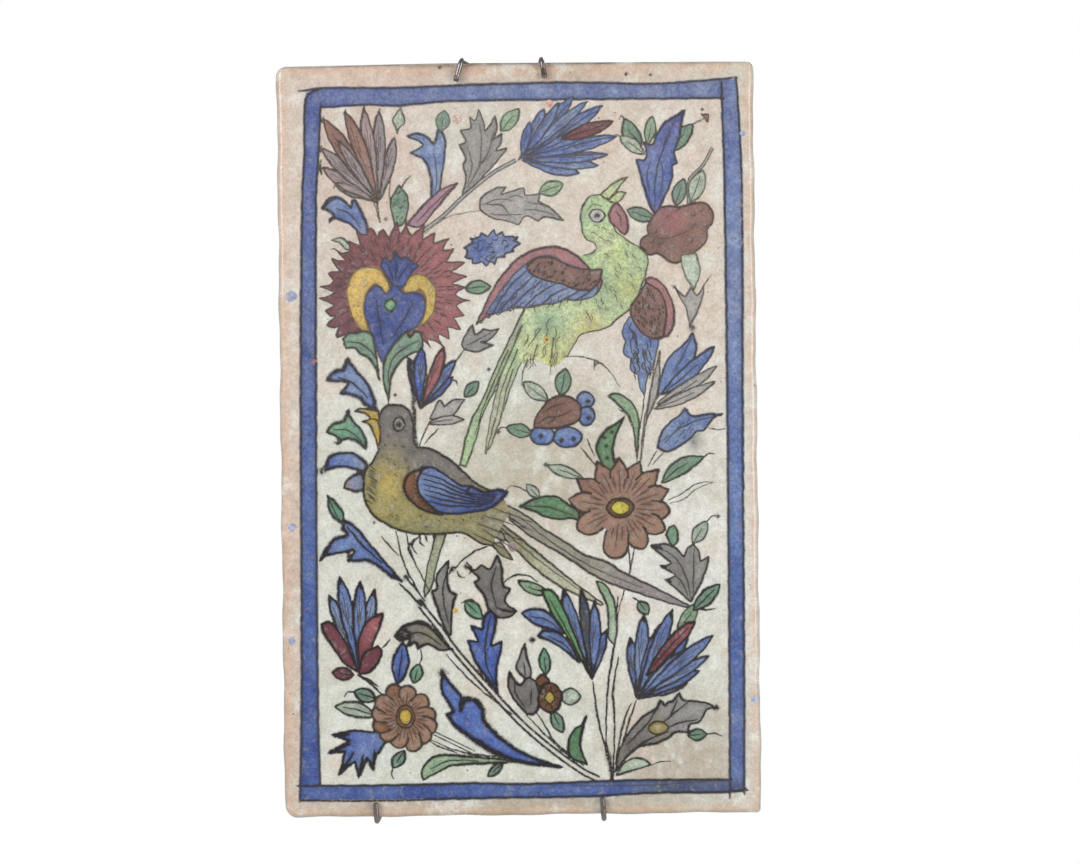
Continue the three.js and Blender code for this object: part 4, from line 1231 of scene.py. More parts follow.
# %% The lower left: big blue leaf and tulip
line(0.9, 1, (-50, -58.5), (-45, -63.5), (-41, -68))
shape([(-72, -32.5, 1), (-68, -35), (-63, -41), (-58, -47), (-53, -53), (-49, -57.5, 1), (-54, -55),
       (-58, -51.5), (-63, -49), (-69, -49), (-71, -49, 1), (-68, -44.8), (-73, -45.5), (-79, -46.5),
       (-82.3, -48.7, 1), (-79, -43), (-76, -40), (-71, -38.5), (-73, -36, 1)], "cobalt_pale", 0.95, 1,
      second=("cobalt", (-72, -36), (-56, -52)))
line(0.8, 0.95, (-71, -35), (-65, -42.5), (-57, -50))
line(1.5, 1, (-78, -43), (-80.5, -45.8), (-82.5, -48.8))
line(1.1, 1, (-69, -44), (-71, -47), (-70.5, -49.5))
for row in ([(-47, -56), (-44, -60), (-41, -64)], [(-59, -101), (-63, -98), (-67, -96)],
            [(-57, -104.5), (-62, -100), (-67.5, -96)], [(-57, -85), (-55, -83), (-54, -81.5)]):
    line(0.75, 1, *row)
dot(-47, -56, 0.9, 1)
leaf((-69, -96), (-78, -95), 5, "wine", 0.6, 0.95)
fan((-67, -95), [(-79, -63, 5, "sky"), (-60, -61, 5, "sky"), (-74.5, -55.5, 5.6, "cobalt_pale"),
                 (-66, -57.5, 5.2, "cobalt_pale")], 0.75, 1)
for u, v in ((-74.3, -57), (-66, -59), (-60.5, -62.5), (-78.7, -64.5)):
    line(1.3, 1, (u + 0.3, v - 1.6), (u, v), (u, v + 1.3))
shape([(-82, -75, 1), (-79, -74), (-76, -77), (-72, -83), (-69, -90), (-67, -95, 1), (-73, -91), (-77, -85),
       (-81, -79)], "wine", 0.75, 1)
shape([(-57, -71, 1), (-62, -73), (-65, -77), (-67, -82), (-67, -95, 1), (-62, -92), (-61, -83), (-58, -76)],
      "wine", 0.75, 1, second=("rose", (-64, -90), (-60, -76)))
shape([(-59, -84, 1), (-57.5, -86.5), (-59, -91), (-63, -95), (-67, -96, 1), (-65, -88)], "maroon", 0.7, 1)
line(0.7, 0.95, (-66.7, -93), (-67.5, -84), (-70, -76))
tell("the lower left: big blue leaf and tulip")

# %% The lower left: rosette and its leaves
leaf((-51, -100), (-48.5, -83), 6.5, "cobalt", 0.75, 1, vein=0.8)
leaf((-44.5, -99.5), (-42, -92), 5, "green_jade", 0.65, 0.95)
line(0.6, 0.95, (-42, -92), (-41, -89), (-41.5, -86))
leaf((-60, -106), (-69, -103), 5.5, "green", 0.7, 1, vein=0.8)
line(0.65, 0.95, (-69, -103), (-71.5, -103), (-73, -105))
leaf((-60.5, -113), (-77, -109), 6, "whitish", 0.7, 0.95, bend=-0.8, vein=0.8)
leaf((-48.5, -127.5), (-53.5, -134.5), 4.5, "green", 0.65, 1)
line(0.7, 0.95, (-53.5, -134.5), (-54, -137), (-53, -139))
stem((-36, -120.5), (-28, -124.5), (-20, -128.5), tone=0.9)
line(0.6, 0.9, (-38.5, -123.5), (-33, -126.5), (-27, -128.5))
shape([(-58, -119.5, 1), (-64, -119.5), (-70, -119), (-78, -120.8, 1), (-71, -123, 1), (-79.5, -128, 1),
       (-73, -127.5, 1), (-75.5, -137, 1), (-69, -131.5, 1), (-67.5, -138, 1), (-64, -130.5, 1),
       (-61.5, -135, 1), (-60.5, -130), (-56, -123.5, 1)], "cobalt", 0.9, 1,
      second=("cobalt_pale", (-76, -120), (-64, -132)))
for tip, back in (((-78, -120.8), (-71, -120.5)), ((-79.5, -128), (-71, -124.5)),
                  ((-75.5, -137), (-69.5, -128)), ((-67.5, -138), (-65.5, -129)),
                  ((-61.5, -135), (-61, -127))):
    line(1.2, 1, back, ((tip[0] + back[0]) / 2, (tip[1] + back[1]) / 2), tip, taper=(0.4, 0.8, 1))
ring = [(-53, -102.5), (-47, -103), (-41, -107), (-38, -113), (-37.5, -118), (-40, -122), (-44.5, -125.5),
        (-51, -124), (-56, -121), (-59, -117), (-59.5, -112), (-58, -107)]
rosette((-48, -113.5), [(u * 0.9 - 48 * 0.1, v * 0.9 - 113.5 * 0.1, 3.4, 0) for u, v in ring],
        (2.6, 3.3), "tan", "tan_pale", ("tan", "ochre"), tone=0.85)
tell("the lower left: rosette and its leaves")

# %% The lower left: the long leaves down to the root
stem((-41, -68), (-33, -78), (-29, -84), (-23, -91.5), (-12, -104), (0, -117), (12, -127.5), (25, -137),
     (31, -140), gap=2.1, width=0.8, tone=1)
dot(-41, -66.5, 1.3, 1)
line(0.6, 0.9, (-38, -123), (-26, -128), (-10, -130.5), (5, -133))
line(0.65, 0.95, (-31, -88), (-22, -98), (-13, -106), (-4, -113))
line(0.6, 0.9, (-10.5, -104), (-7, -108.5), (-3, -113))
shape([(-41, -139.5, 1), (-41.5, -136), (-39, -132), (-34, -129.5), (-24, -130), (-15, -130.8),
       (0, -132.5, 1), (-8, -132.8), (-22, -133.2), (-30, -134), (-36, -137)], "green_pale", 0.75, 1)
line(0.5, 0.85, (-38, -135), (-30, -131.8), (-18, -132))
leaf((-8, -133), (-14.5, -138.5), 3.2, "green", 0.65, 0.95)
shape([(-32.5, -96, 1), (-29.5, -100), (-26, -104), (-24.6, -107), (-25.2, -111, 1), (-23.4, -107.4),
       (-21, -106.6), (-18, -107.6), (-16.2, -111.5), (-15.6, -115.5), (-11.5, -120.5), (-5.5, -125.5),
       (2, -130), (16, -135, 1), (0.5, -133), (-8, -130.6), (-17, -125.5), (-22, -121.7), (-27, -118),
       (-31, -112.8, 1), (-28.2, -111.6), (-30.5, -107.5), (-32.6, -103.5), (-33, -99)], "cobalt", 1.2, 1)
line(1.5, 1, (-25.3, -111.5), (-25.4, -108), (-22.5, -106), (-19.5, -107), (-17, -110.5))
dot(-32.6, -95.6, 1.3, 1)
line(1.7, 1, (-31, -113), (-26, -118.5), (-16, -125.5), (-4, -131.5), (12, -134.6))
shape([(-12, -69, 1), (-15, -73), (-16, -78, 1), (-20.5, -76.5, 1), (-17.5, -83, 1), (-22, -82.5, 1),
       (-20, -88), (-18.5, -92), (-15, -97), (-10, -104.5, 1), (-10.5, -95), (-9, -89), (-8, -83, 1),
       (-12.5, -84.5), (-11, -79), (-10.5, -73)], "cobalt", 0.9, 1)
line(0.65, 0.9, (-12.5, -72), (-14.5, -82), (-14.5, -92), (-11, -101))
leaf((-23, -66), (-16, -73.5), 5.5, "green_jade", 0.65, 0.95)
line(0.6, 0.9, (-24.5, -67), (-20, -65.5), (-16.5, -69.5))
shape([(-29.5, -49.5, 1), (-32, -52), (-34.5, -56), (-34.5, -61), (-36.5, -62, 1), (-34, -70), (-30.5, -79),
       (-29, -80, 1), (-28, -68), (-26.5, -63.5, 1), (-29.5, -61.5), (-30, -53)], "grey_deep", 0.75, 1,
      second=("grey", (-31, -75), (-30, -55)))
line(0.6, 0.9, (-30.5, -54), (-32, -63), (-30, -75))
shape([(-9.5, -47.5, 1), (-12.5, -53), (-16, -51.5, 1), (-19, -53.5), (-22, -52, 1), (-17, -57),
       (-19, -58.5, 1), (-14.5, -65), (-13.5, -69), (-9, -73), (-4, -72.5), (-1.5, -70.5, 1), (-5, -68.5),
       (-6.5, -66), (-4.5, -61.5, 1), (-7, -60), (-8, -51)], "grey_deep", 0.7, 1)
line(0.6, 0.9, (-10, -52), (-12, -60), (-10, -69))
line(1.0, 0.95, (-10, -69), (-6, -70.5), (-2, -70.5))
shape([(-52, -80.5, 1), (-49, -76.5), (-44, -75), (-40, -75.5), (-36, -78), (-31, -84), (-28, -86, 1),
       (-34, -86), (-38.5, -83.5), (-42.5, -85.5, 1), (-43.5, -83), (-47, -84.5, 1), (-46, -81.5),
       (-49.5, -82.5, 1)], "grey_deep", 0.8, 1)
stain(-38, -80.5, 5, "olive", 0.6)
for u, v in ((-50.5, -79.5), (-48, -77.8), (-46, -80), (-49, -81)):
    dot(u, v, 1.1, 1)
line(1.2, 1, (-52, -80), (-47, -76), (-41, -74.5), (-36, -77.5), (-30, -84))
line(0.6, 0.9, (-46, -79.5), (-41, -79), (-33, -84))
tell("the lower left: the long leaves down to the root")

# %% [markdown]
# ## The lower right
# Two fans and two flowers rise from one root at the bottom: a blue fan in the middle beside a mint blade, a
# blue and red fan at the right, a small grey and rust flower, and a grey lily lying along the bottom.

# %% The lower middle: blades, petals and fan
for row in ([(-6.5, -58.5), (-3, -56), (0, -55.5), (4, -56.5), (7, -58.5)],
            [(29.3, -100), (31, -114), (33, -123), (35.5, -133)],
            [(40, -65), (38.5, -83), (35.5, -102), (34.5, -125), (36, -134)],
            [(40, -90), (38.5, -97), (37.5, -105), (38, -115), (37.5, -135)]):
    line(0.8, 1, *row)
leaf((12, -63), (-1, -58), 4.5, "mint", 0.6, 0.95, bend=1.0)
shape([(0.5, -71.5, 1), (3, -70), (8, -70), (12, -72), (18, -80, 1), (10, -77.5), (5, -75.5)], "cobalt_pale",
      0.8, 1)
shape([(7, -81, 1), (9, -79), (13, -79), (17, -81), (20, -84), (24, -92, 1), (18, -87), (13, -83.5)],
      "cobalt_pale", 0.8, 1)
line(0.5, 0.85, (4, -73), (10, -74), (16, -78.5))
line(0.5, 0.85, (11, -81), (17, -84), (22, -89.5))
dot(4.5, -82.5, 1, 1)
fan((29, -99.5), [(17.5, -61.5, 5.4, "cobalt_pale"), (25, -62, 4.2, "slate"), (35, -79, 4, "cobalt_pale"),
                  (30.2, -67.5, 4.6, "cobalt_pale")], 0.65, 0.95)
shape([(8.8, -62, 1), (12.5, -62), (16.5, -67.5), (20.5, -77), (24.5, -87), (28.5, -98, 1), (23.5, -89),
       (18, -79.5), (12.5, -71)], "green_grass", 0.7, 1)
line(0.5, 0.8, (12, -66), (18, -77), (24, -89))
for u, v in ((18, -63.5), (30.5, -68), (35.3, -80)):
    line(1.2, 1, (u + 0.2, v - 1.4), (u, v), (u, v + 1.6))
shape([(31, -58.5, 1), (34, -59.5), (36.5, -62.5), (38.5, -67), (39.5, -78), (38.5, -85, 1), (36, -82),
       (36, -72), (34.5, -66), (32, -61)], "mint", 0.65, 0.9, second=("whitish", (34, -62), (38, -84)))
tell("the lower middle: blades, petals and fan")

# %% The lower middle: grey and rust flower
for row in ([(2, -113.5), (7, -119), (13, -125), (24, -135)],
            [(6, -112.5), (9, -117), (13, -124), (25, -134.5)]):
    line(0.65, 0.95, *row)
shape([(1.5, -84, 1), (-1, -90), (-2, -94), (2.8, -100, 1), (4, -95), (2.5, -91)], "grey", 0.7, 0.95)
shape([(-5, -95.5, 1), (-5.5, -100), (-5, -103.5), (-3, -107), (2, -113, 1), (5.5, -112.5), (7, -109),
       (7, -104), (6, -100, 1), (2.8, -98), (-1, -101)], "grey_deep", 0.7, 1)
leaf((10, -97), (9.2, -86), 4.5, "green_jade", 0.6, 0.95)
leaf((12.5, -112), (16.5, -120.5), 5, "green", 0.65, 0.95)
shape([(15.8, -106), (20, -102.4), (24, -106), (20, -109.5)], "whitish", 0.6, 0.9)
for row in ([(-3, -98), (-2.5, -104), (1, -110)], [(1, -92), (1.5, -97)], [(4, -103), (3.5, -109)]):
    line(0.6, 0.9, *row)
shape([(5.8, -99.5), (8.5, -96.8), (11.3, -99.5), (8.5, -102.2)], "rust", 0.65, 0.95)
shape([(6.8, -106), (9, -101), (13.5, -100.8), (16.3, -105), (15, -110.5), (11.5, -112.3), (8, -110.5)],
      "rust", 0.75, 1)
for i in range(9):
    angle = i / 9 * 2 * math.pi
    line(0.5, 0.85, (11.5 + 2.6 * math.cos(angle), -106.3 + 3.2 * math.sin(angle)),
         (11.5 + 4.2 * math.cos(angle), -106.3 + 5 * math.sin(angle)))
shape([(9.4, -106.3), (11.5, -103.6), (13.6, -106.3), (11.5, -109)], "ochre", 0.6, 0.95)
shape([(26.5, -114, 1), (24, -118), (22, -119), (19.5, -123), (18.8, -127), (20, -131), (26.5, -134, 1),
       (24.5, -129), (23.8, -124)], "green_deep", 0.75, 1)
tell("the lower middle: grey and rust flower")

# %% The lower right: blue and red fan, leaves
for row in ([(45, -109), (42, -116), (38, -134)], [(47, -108), (43.5, -118), (39, -134)],
            [(46, -65.5), (48.5, -67)], [(72, -70), (76, -71), (80, -70.5)]):
    line(0.75, 0.95, *row)
leaf((48.5, -67), (52.3, -72.5), 4.5, "green", 0.6, 0.9)
leaf((64.5, -80), (73, -68), 5.5, "mint", 0.5, 0.8)
leaf((71, -71), (82, -60.5), 5.5, "green", 0.65, 0.95, vein=0.8)
fan((47, -107.5), [(69, -80, 7, "cobalt_pale"), (67, -88, 6, "sky"), (68, -101, 4.6, "sky"),
                   (73, -96, 4.6, "cobalt_pale"), (77, -90, 4.6, "sky"), (79, -81.5, 5.2, "cobalt_pale"),
                   (44.7, -82, 4.6, "cobalt_pale"), (50.6, -72.5, 5.4, "sky"), (57, -77, 4, "cobalt_pale"),
                   (62.5, -70.5, 5.6, "cobalt_pale")], 0.65, 0.9)
shape([(51.5, -97.5, 1), (55.5, -95.5), (62.5, -88), (69, -81), (71.5, -76, 1), (68, -76.5), (62, -81.5),
       (55.5, -89.5)], "wine", 0.75, 0.95, second=("rose", (58, -92), (68, -79)))
line(0.5, 0.85, (54, -94), (61, -86), (69, -78))
for u, v in ((50.8, -74), (62, -73), (44.7, -84)):
    line(1.1, 1, (u, v - 1.6), (u, v), (u + 0.3, v + 1.6))
tell("the lower right: blue and red fan, leaves")

# %% The lower right: lily and root leaves
shape([(38, -137, 1), (40, -128), (44, -121), (50, -114.5), (55.5, -111), (57, -108, 1), (59, -110, 1),
       (60.5, -108.5, 1), (62, -108.5), (64.8, -105, 1), (66.5, -108), (71, -108.5), (75, -109),
       (80, -111.3, 1), (76, -112), (73, -117), (69, -118), (68, -121.5, 1), (63, -121), (60, -123.5, 1),
       (55, -125.5), (48, -127), (43, -131)], "grey_deep", 0.7, 0.95, second=("grey", (46, -126), (64, -113)))
for row in ([(43, -126), (51, -118), (56, -111)], [(58, -117), (63, -113), (68, -109)],
            [(60, -119), (66, -117), (72, -116)], [(44, -129), (52, -124), (60, -121)],
            [(61, -114), (64, -108)]):
    line(0.65, 0.9, *row)
disc(56, -119.3, 4.2, "olive", 2.6)
stain(56, -119.3, 3, "ochre", 0.6)
dot(80, -111.3, 1, 1)
leaf((68, -122.5), (76, -122), 4.5, "green", 0.6, 0.9)
line(0.6, 0.85, (76, -122), (79, -121.7), (82, -123))
shape([(38.5, -138.5, 1), (41, -134.5), (45, -131.8), (49, -131.8), (53, -134.5, 1), (49, -135.5),
       (44, -137)], "whitish", 0.6, 0.9)
line(0.5, 0.8, (53, -134.5), (57, -133.2), (61, -133))
line(1.7, 1, (34.5, -126), (36.3, -136), (36.5, -141))
line(0.9, 1, (37.5, -134), (37.2, -138), (36.8, -141))
tell("the lower right: lily and root leaves")

# %% [markdown]
# ## Accidents of the kiln
# Small things that show that the tile was fired in a wood kiln: dark grits, a pink ring and blotch, a
# pinhole with a yellow edge, and smudges of blue that ran on the margin.

# %% Accidents of the kiln
for u, v, r in ((-53.7, 91.3, 0.6), (-50.6, 19, 0.55), (-12, 29, 0.6), (-60, -33.5, 0.5), (46, 150, 0.6),
                (56, 149.5, 0.5), (77, 135, 0.5), (-31, 154, 0.7), (12, 41, 0.35)):
    dot(u, v, r, 0.85)
for u, v, r, colour in ((-24, 132, 1.9, "blush"), (14, 138, 1.7, "blush"), (12, 41, 1.3, "straw"),
                        (-24, 132, 1.1, "ground"), (-84, 33, 0.9, "rose"), (-93, 60, 2.2, "smudge"),
                        (-93.5, -35, 1.6, "smudge"), (-94.5, -82, 1.7, "smudge"), (96, -108, 1.4, "smudge"),
                        (93.8, 125, 1.2, "smudge"), (-27, -70, 1.0, "straw")):
    shape([(u - r * hand.uniform(0.8, 1.2), v), (u, v + r), (u + r * hand.uniform(0.8, 1.2), v + 0.2),
           (u, v - r)], colour, 0)
dot(12, 41, 0.3, 0.9)
tell("accidents of the kiln")

# %% [markdown]
# ## From brush strokes to values on the face
# Once every stroke is drawn, each corner of the face's triangles is coloured: first the bare ground, which
# is pinker at the top left and greener lower down, and then wash by wash and line by line in painting
# order. The ground's tints fade into each other, and the margin outside the border has tints of its own.
# The first value stored is the colour, with how thick the wash is. The second, the marks, holds four
# numbers: how near the middle of an ink line lies, how much the cobalt specks, how much the maroon
# stipples, and how dark the ink is.

# %% From brush strokes to values on the face
GROUND = paint_colour(222, 217, 207)
MARGIN_WIDTH = 10
GROUND_PATCHES = (  # middle u, v, reach, and the slip's tint there
    (-60, 120, 42, "slip_rose"), (-20, 126, 16, "slip_mint"), (10, 112, 26, "slip_cream"),
    (62, 110, 40, "slip_cream"), (70, 62, 36, "slip_cream"), (-8, 25, 18, "slip_mint"),
    (5, -12, 30, "slip_buff"), (-74, -20, 40, "slip_mint"), (-66, -98, 40, "slip_mint"),
    (65, -130, 26, "slip_brown"), (78, -95, 26, "slip_mint"), (58, -50, 28, "slip_white"),
    (10, -112, 30, "slip_mint"), (-50, -133, 26, "slip_mint"))
MARGIN_PATCHES = (
    (-60, 152, 44, "slip_rose"), (10, 152, 50, "slip_dusk"), (85, 152, 30, "slip_cream"),
    (-95, 80, 60, "slip_cream"), (-95, -60, 80, "slip_rose"), (0, -152, 90, "slip_brown"),
    (96, -60, 70, "slip_white"), (96, 80, 50, "slip_cream"))


def mixed_patches(u, v, start, patches):
    """The starting colour, drawn softly towards each patch's colour near it."""
    total = np.tile(np.array(start), (len(u), 1)) * 0.5
    weight = np.full(len(u), 0.5)
    for at_u, at_v, reach, look in patches:
        near = np.exp(-((u - at_u) ** 2 + (v - at_v) ** 2) / reach**2)
        total += near[:, None] * pigment(look)[:3]
        weight += near
    return total / weight[:, None]


def painted_values(u, v, inset):
    """The attributes of the face at each corner: its paint and its marks."""
    paint, marks = np.zeros((len(u), 4)), np.zeros((len(u), 4))
    field = mixed_patches(u, v, GROUND, GROUND_PATCHES)
    rim = mixed_patches(u, v, GROUND, MARGIN_PATCHES)
    warm = 0.5 * np.exp(-(((inset - 2.2) / 1.3) ** 2))[:, None]  # the glaze ran thin and warm along the edge
    rim = rim * (1 - warm) + pigment("slip_edge")[:3] * warm
    rim *= 1 - 0.3 * np.exp(-((inset / 0.9) ** 2))[:, None]  # painted shade: the very edge, where the glaze rolls over, is darkened
    paint[:, :3] = np.where((inset < MARGIN_WIDTH)[:, None], rim, field)
    pooled = np.zeros(len(u))  # how much colour gathered along an ink line
    for kind, row, *rest in layers:
        if kind == "stain":
            colour, strength, (wide, high), anywhere = rest
            weight = strength * np.exp(-((u - row[0, 0]) / wide) ** 2 - ((v - row[0, 1]) / high) ** 2)
            weight *= np.maximum(paint[:, 3], anywhere)
            other = pigment(colour)
            paint[:, :3] += (other[:3] - paint[:, :3]) * weight[:, None]
            marks[:, 1:3] += (other[3:] - marks[:, 1:3]) * (weight * paint[:, 3])[:, None]
            continue
        reach = 0.1 if kind == "wash" else rest[0].max() + 1.2
        near = np.flatnonzero((u > row[:, 0].min() - reach) & (u < row[:, 0].max() + reach)
                              & (v > row[:, 1].min() - reach) & (v < row[:, 1].max() + reach))
        if kind == "wash":
            colour, second = rest
            gap, _ = nearest(row, True, u[near], v[near])
            hit = near[within(row, u[near], v[near]) | (gap < 0.02)]
            full = np.tile(pigment(colour), (len(hit), 1))
            if second:
                name, start, end = second
                run = np.subtract(end, start)
                share = np.clip(((u[hit] - start[0]) * run[0] + (v[hit] - start[1]) * run[1]) / (run @ run),
                                0, 1)
                full += (pigment(name) - full) * (share * share * (3 - 2 * share))[:, None]
            paint[hit, :3], paint[hit, 3] = full[:, :3], 1
            pooled[hit] = 0
            marks[hit, 0], marks[hit, 1:3] = 0, full[:, 3:]
        else:
            outer, tone, closed = rest
            gap, where = nearest(row, closed, u[near], v[near])
            ring = np.append(outer, outer[0] if closed else outer[-1])
            value = np.clip(1 - gap / np.interp(where, np.arange(len(ring)), ring), 0, 1)
            stronger = value >= marks[near, 0]
            marks[near[stronger & (value > 0)], 3] = tone
            blank = near[(value == 0) & (gap < reach) & (marks[near, 0] == 0)]
            marks[blank, 3] = tone
            marks[near, 0] = np.maximum(marks[near, 0], value)
            pooled[near] = np.maximum(pooled[near], tone * np.exp(-((gap / 1.2) ** 2)))
    thinner = np.interp(v, [-40, 60], [0, 0.11]) * paint[:, 3]  # the upper half was washed thinner
    paint[:, :3] += (field - paint[:, :3]) * thinner[:, None]
    paint[:, :3] *= np.where(paint[:, 3] > 0, 1.08 - 0.42 * pooled, 1 - 0.1 * pooled)[:, None]
    marks[:, 3] = np.where(marks[:, 3] == 0, 0.8, marks[:, 3])
    print(f"painted with {len(layers)} washes and lines")
    return ("paint", paint), ("marks", marks)

# %% [markdown]
# ## The tile
# The slab was pressed in a frame, so its face is nearly flat and its glaze rolls over the edges. The face
# is triangulated flat, with the rows of the rolled edge and of every brush line held as edges. Then it is
# lifted into place, its rim is extruded back in a few rings for the narrowing sides and the chamfer, and
# the back is closed.

# %% The tile's face
corners_flat, edges_flat = [], []


def add_row(points, closed):
    """Add a row of points whose joining edges the triangles must follow."""
    first = len(corners_flat)
    corners_flat.extend(points)
    last = len(corners_flat) - 1
    edges_flat.extend((i, i + 1) for i in range(first, last))
    if closed:
        edges_flat.append((last, first))


for inset in RIM_RINGS:
    add_row(face_outline(inset), closed=True)
for row, closed in painted_rows:
    add_row(row, closed)
GRID, GRID_INSET = 2.6, 4.2  # the plain corners between the brush lines, and how far in they start
for i in range(1, round(TILE_WIDTH / GRID)):
    for j in range(1, round(TILE_HEIGHT / GRID)):
        u, v = i * GRID - TILE_WIDTH / 2 + (j % 2) * GRID / 2, j * GRID - TILE_HEIGHT / 2
        if abs(u) < TILE_WIDTH / 2 - GRID_INSET and abs(v) < TILE_HEIGHT / 2 - GRID_INSET:
            corners_flat.append((u, v))
flat, _, triangles, *_ = delaunay_2d_cdt([Vector(p) for p in corners_flat], edges_flat, [], 0, 1e-4, False)
u, v = np.array([tuple(p) for p in flat]).T
print(f"tile face: {len(flat)} corners, {len(triangles)} triangles")

inset = inset_of(u, v)
roll = EDGE_ROLL - np.sqrt(np.maximum(EDGE_ROLL**2 - np.maximum(EDGE_ROLL - inset, 0) ** 2, 0))
# the face sags and swells by a tenth of a millimetre, and its edge wavers by a fifth
sag = 0.12 * np.sin(u / 31 + 0.6) * np.cos(v / 43 - 0.4) + 0.05 * np.sin(u / 9.5 + v / 14)
rim = np.exp(-inset / 3)
shift_u = rim * (0.22 * np.sin(v / 7.3) + 0.13 * np.sin(v / 2.9 + 1.0)) * np.sign(u) * (np.abs(u) > 94)
shift_v = rim * (0.2 * np.sin(u / 8.1 + 2) + 0.12 * np.sin(u / 3.1)) * np.sign(v) * (np.abs(v) > 150)
shift_u, shift_v = shift_u - np.sign(u) * rim * 0.25, shift_v - np.sign(v) * rim * 0.25
vertices = [place(*p) for p in zip(u + shift_u, v + shift_v, FACE_Y + roll + sag * (1 - rim))]

tile_mesh = bpy.data.meshes.new("tile")
tile_mesh.from_pydata(vertices, [], triangles)
tile = bpy.data.objects.new("painted_tile", tile_mesh)
bpy.context.collection.objects.link(tile)
pick_only(tile)
for name, values in painted_values(u, v, inset):
    layer = tile_mesh.attributes.new(name, "FLOAT_COLOR", "POINT")
    layer.data.foreach_set("color", values.astype(np.float32).ravel())

# %% The tile's sides and back
bpy.ops.object.mode_set(mode="EDIT")
bpy.ops.mesh.select_mode(type="EDGE")
bpy.ops.mesh.select_all(action="SELECT")
bpy.ops.mesh.normals_make_consistent(inside=False)
bpy.ops.mesh.select_all(action="DESELECT")
bpy.ops.mesh.select_non_manifold()
middle = place(0, 0, FACE_Y)
# how far behind the face, and how far the sides lean in there
steps = [(EDGE_ROLL, 0), (7.5, 0.5), (12.4, 1.25), (TILE_THICKNESS - BACK_CHAMFER, SIDE_DRAFT),
         (TILE_THICKNESS, SIDE_DRAFT + BACK_CHAMFER)]
for (near, in_near), (far, in_far) in zip(steps, steps[1:]):
    bpy.ops.mesh.extrude_region_move(TRANSFORM_OT_translate={"value": (0, (far - near) * MM, 0)})
    bpy.ops.transform.resize(center_override=middle, value=(
        (TILE_WIDTH / 2 - in_far) / (TILE_WIDTH / 2 - in_near), 1,
        (TILE_HEIGHT / 2 - in_far) / (TILE_HEIGHT / 2 - in_near)))
for share in ((0.9, 1, 0.94), (0.75, 1, 0.85)):  # two rings on the back
    bpy.ops.mesh.extrude_region_move()
    bpy.ops.transform.resize(center_override=middle, value=share)
bpy.ops.mesh.edge_face_add()
bpy.ops.mesh.select_all(action="SELECT")
bpy.ops.mesh.normals_make_consistent(inside=False)
bpy.ops.object.mode_set(mode="OBJECT")
bpy.ops.object.shade_smooth_by_angle(angle=math.radians(35))
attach(tile, "root")
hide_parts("tile")
count(tile)

# %% [markdown]
# ## Laying the tile out flat
# The painting should get most of the layout of the tile's surfaces. So the
# face takes four fifths, the back a corner, and each side a narrow strip. A face's place in the layout
# comes from the way it looks.

# %% Laying the tile out flat
layout = tile_mesh.uv_layers.new(name="OFBake")
low, high = (np.array([fold([v.co[i] for v in tile_mesh.vertices]) for i in range(3)]) for fold in (min, max))
STRIP = (0.035, 0.5)
for face in tile_mesh.polygons:
    out = face.normal
    if abs(out.y) > 0.5:
        start, size, axes = ((0, 0), (0.8, 1), (0, 2)) if out.y < 0 else ((0.82, 0), (0.18, 0.48), (0, 2))
    elif abs(out.x) > abs(out.z):
        start, size, axes = (0.82 if out.x < 0 else 0.865, 0.5), STRIP, (1, 2)
    else:
        start, size, axes = (0.91 if out.z < 0 else 0.955, 0.5), STRIP, (1, 0)
    for corner in face.loop_indices:
        spot = tile_mesh.vertices[tile_mesh.loops[corner].vertex_index].co
        layout.data[corner].uv = [s + w * (0.01 + 0.98 * (spot[i] - low[i]) / (high[i] - low[i]))
                                  for s, w, i in zip(start, size, axes)]

# %% [markdown]
# ## The painted glaze
# Under a clear alkaline glaze the pigments lie on white slip over a sandy body. The face shows the paint
# with its grain: cobalt in dark specks, maroon as a stipple, washes pooled unevenly. The glaze is glossy,
# gently rippled, and has pinholes and a few grits. The sides are glazed only in part, and the back is bare
# clay. The stored paint and marks give the broad areas, and noise gives everything finer.

# %% The painted glaze
glaze = Finish("painted_glaze")
paint = glaze.node("ShaderNodeAttribute", {"attribute_name": "paint"}, out="Color")
marks = glaze.node("ShaderNodeAttribute", {"attribute_name": "marks"}, out="Color")
washed, tone = (Value(glaze, stored.socket.node.outputs["Alpha"]) for stored in (paint, marks))
split = glaze.node("ShaderNodeSeparateColor", None, {"Color": marks})
line_value, cobalt, maroon = (Value(glaze, socket) for socket in split.socket.node.outputs)

grain = glaze.noise(0.8, detail=2, rough=0.7)
fine = glaze.noise(1.8, detail=3, rough=0.7)
blots = glaze.noise(3.4, detail=4, rough=0.7)
water = glaze.noise(9, detail=5, rough=0.65)
clouds = glaze.noise(26, detail=4, rough=0.6)


def darkened(colour, shade):
    """A colour multiplied by a shade. A shade above 1 makes it brighter."""
    return glaze.mix(1.0, colour, shade, "MULTIPLY")


# the ground: a slip that fired pinker here and greener there, with watery stains, grain and grits
ground = glaze.mix(glaze.step(clouds, 0.5, 0.72) * 0.4, paint, paint_colour(226, 200, 182))
ground = glaze.mix(glaze.step(clouds, 0.48, 0.3) * 0.4, ground, paint_colour(212, 218, 206))
ground = glaze.mix(glaze.step(water, 0.5, 0.7) * 0.6, ground, paint_colour(236, 238, 231))
ground = darkened(ground, glaze.mix(glaze.step(water, 0.5, 0.28), (1, 1, 1), (0.9, 0.88, 0.84)))
ground = darkened(ground, glaze.mix(glaze.step(blots, 0.3, 0.7), (0.9, 0.9, 0.88), (1.06, 1.06, 1.07)))
ground = darkened(ground, glaze.mix(glaze.step(grain, 0.3, 0.7), (0.93, 0.93, 0.93), (1.05, 1.05, 1.05)))
grits = glaze.step(glaze.cells(6), 0.085, 0.035) * glaze.step(glaze.noise(30), 0.45, 0.6)

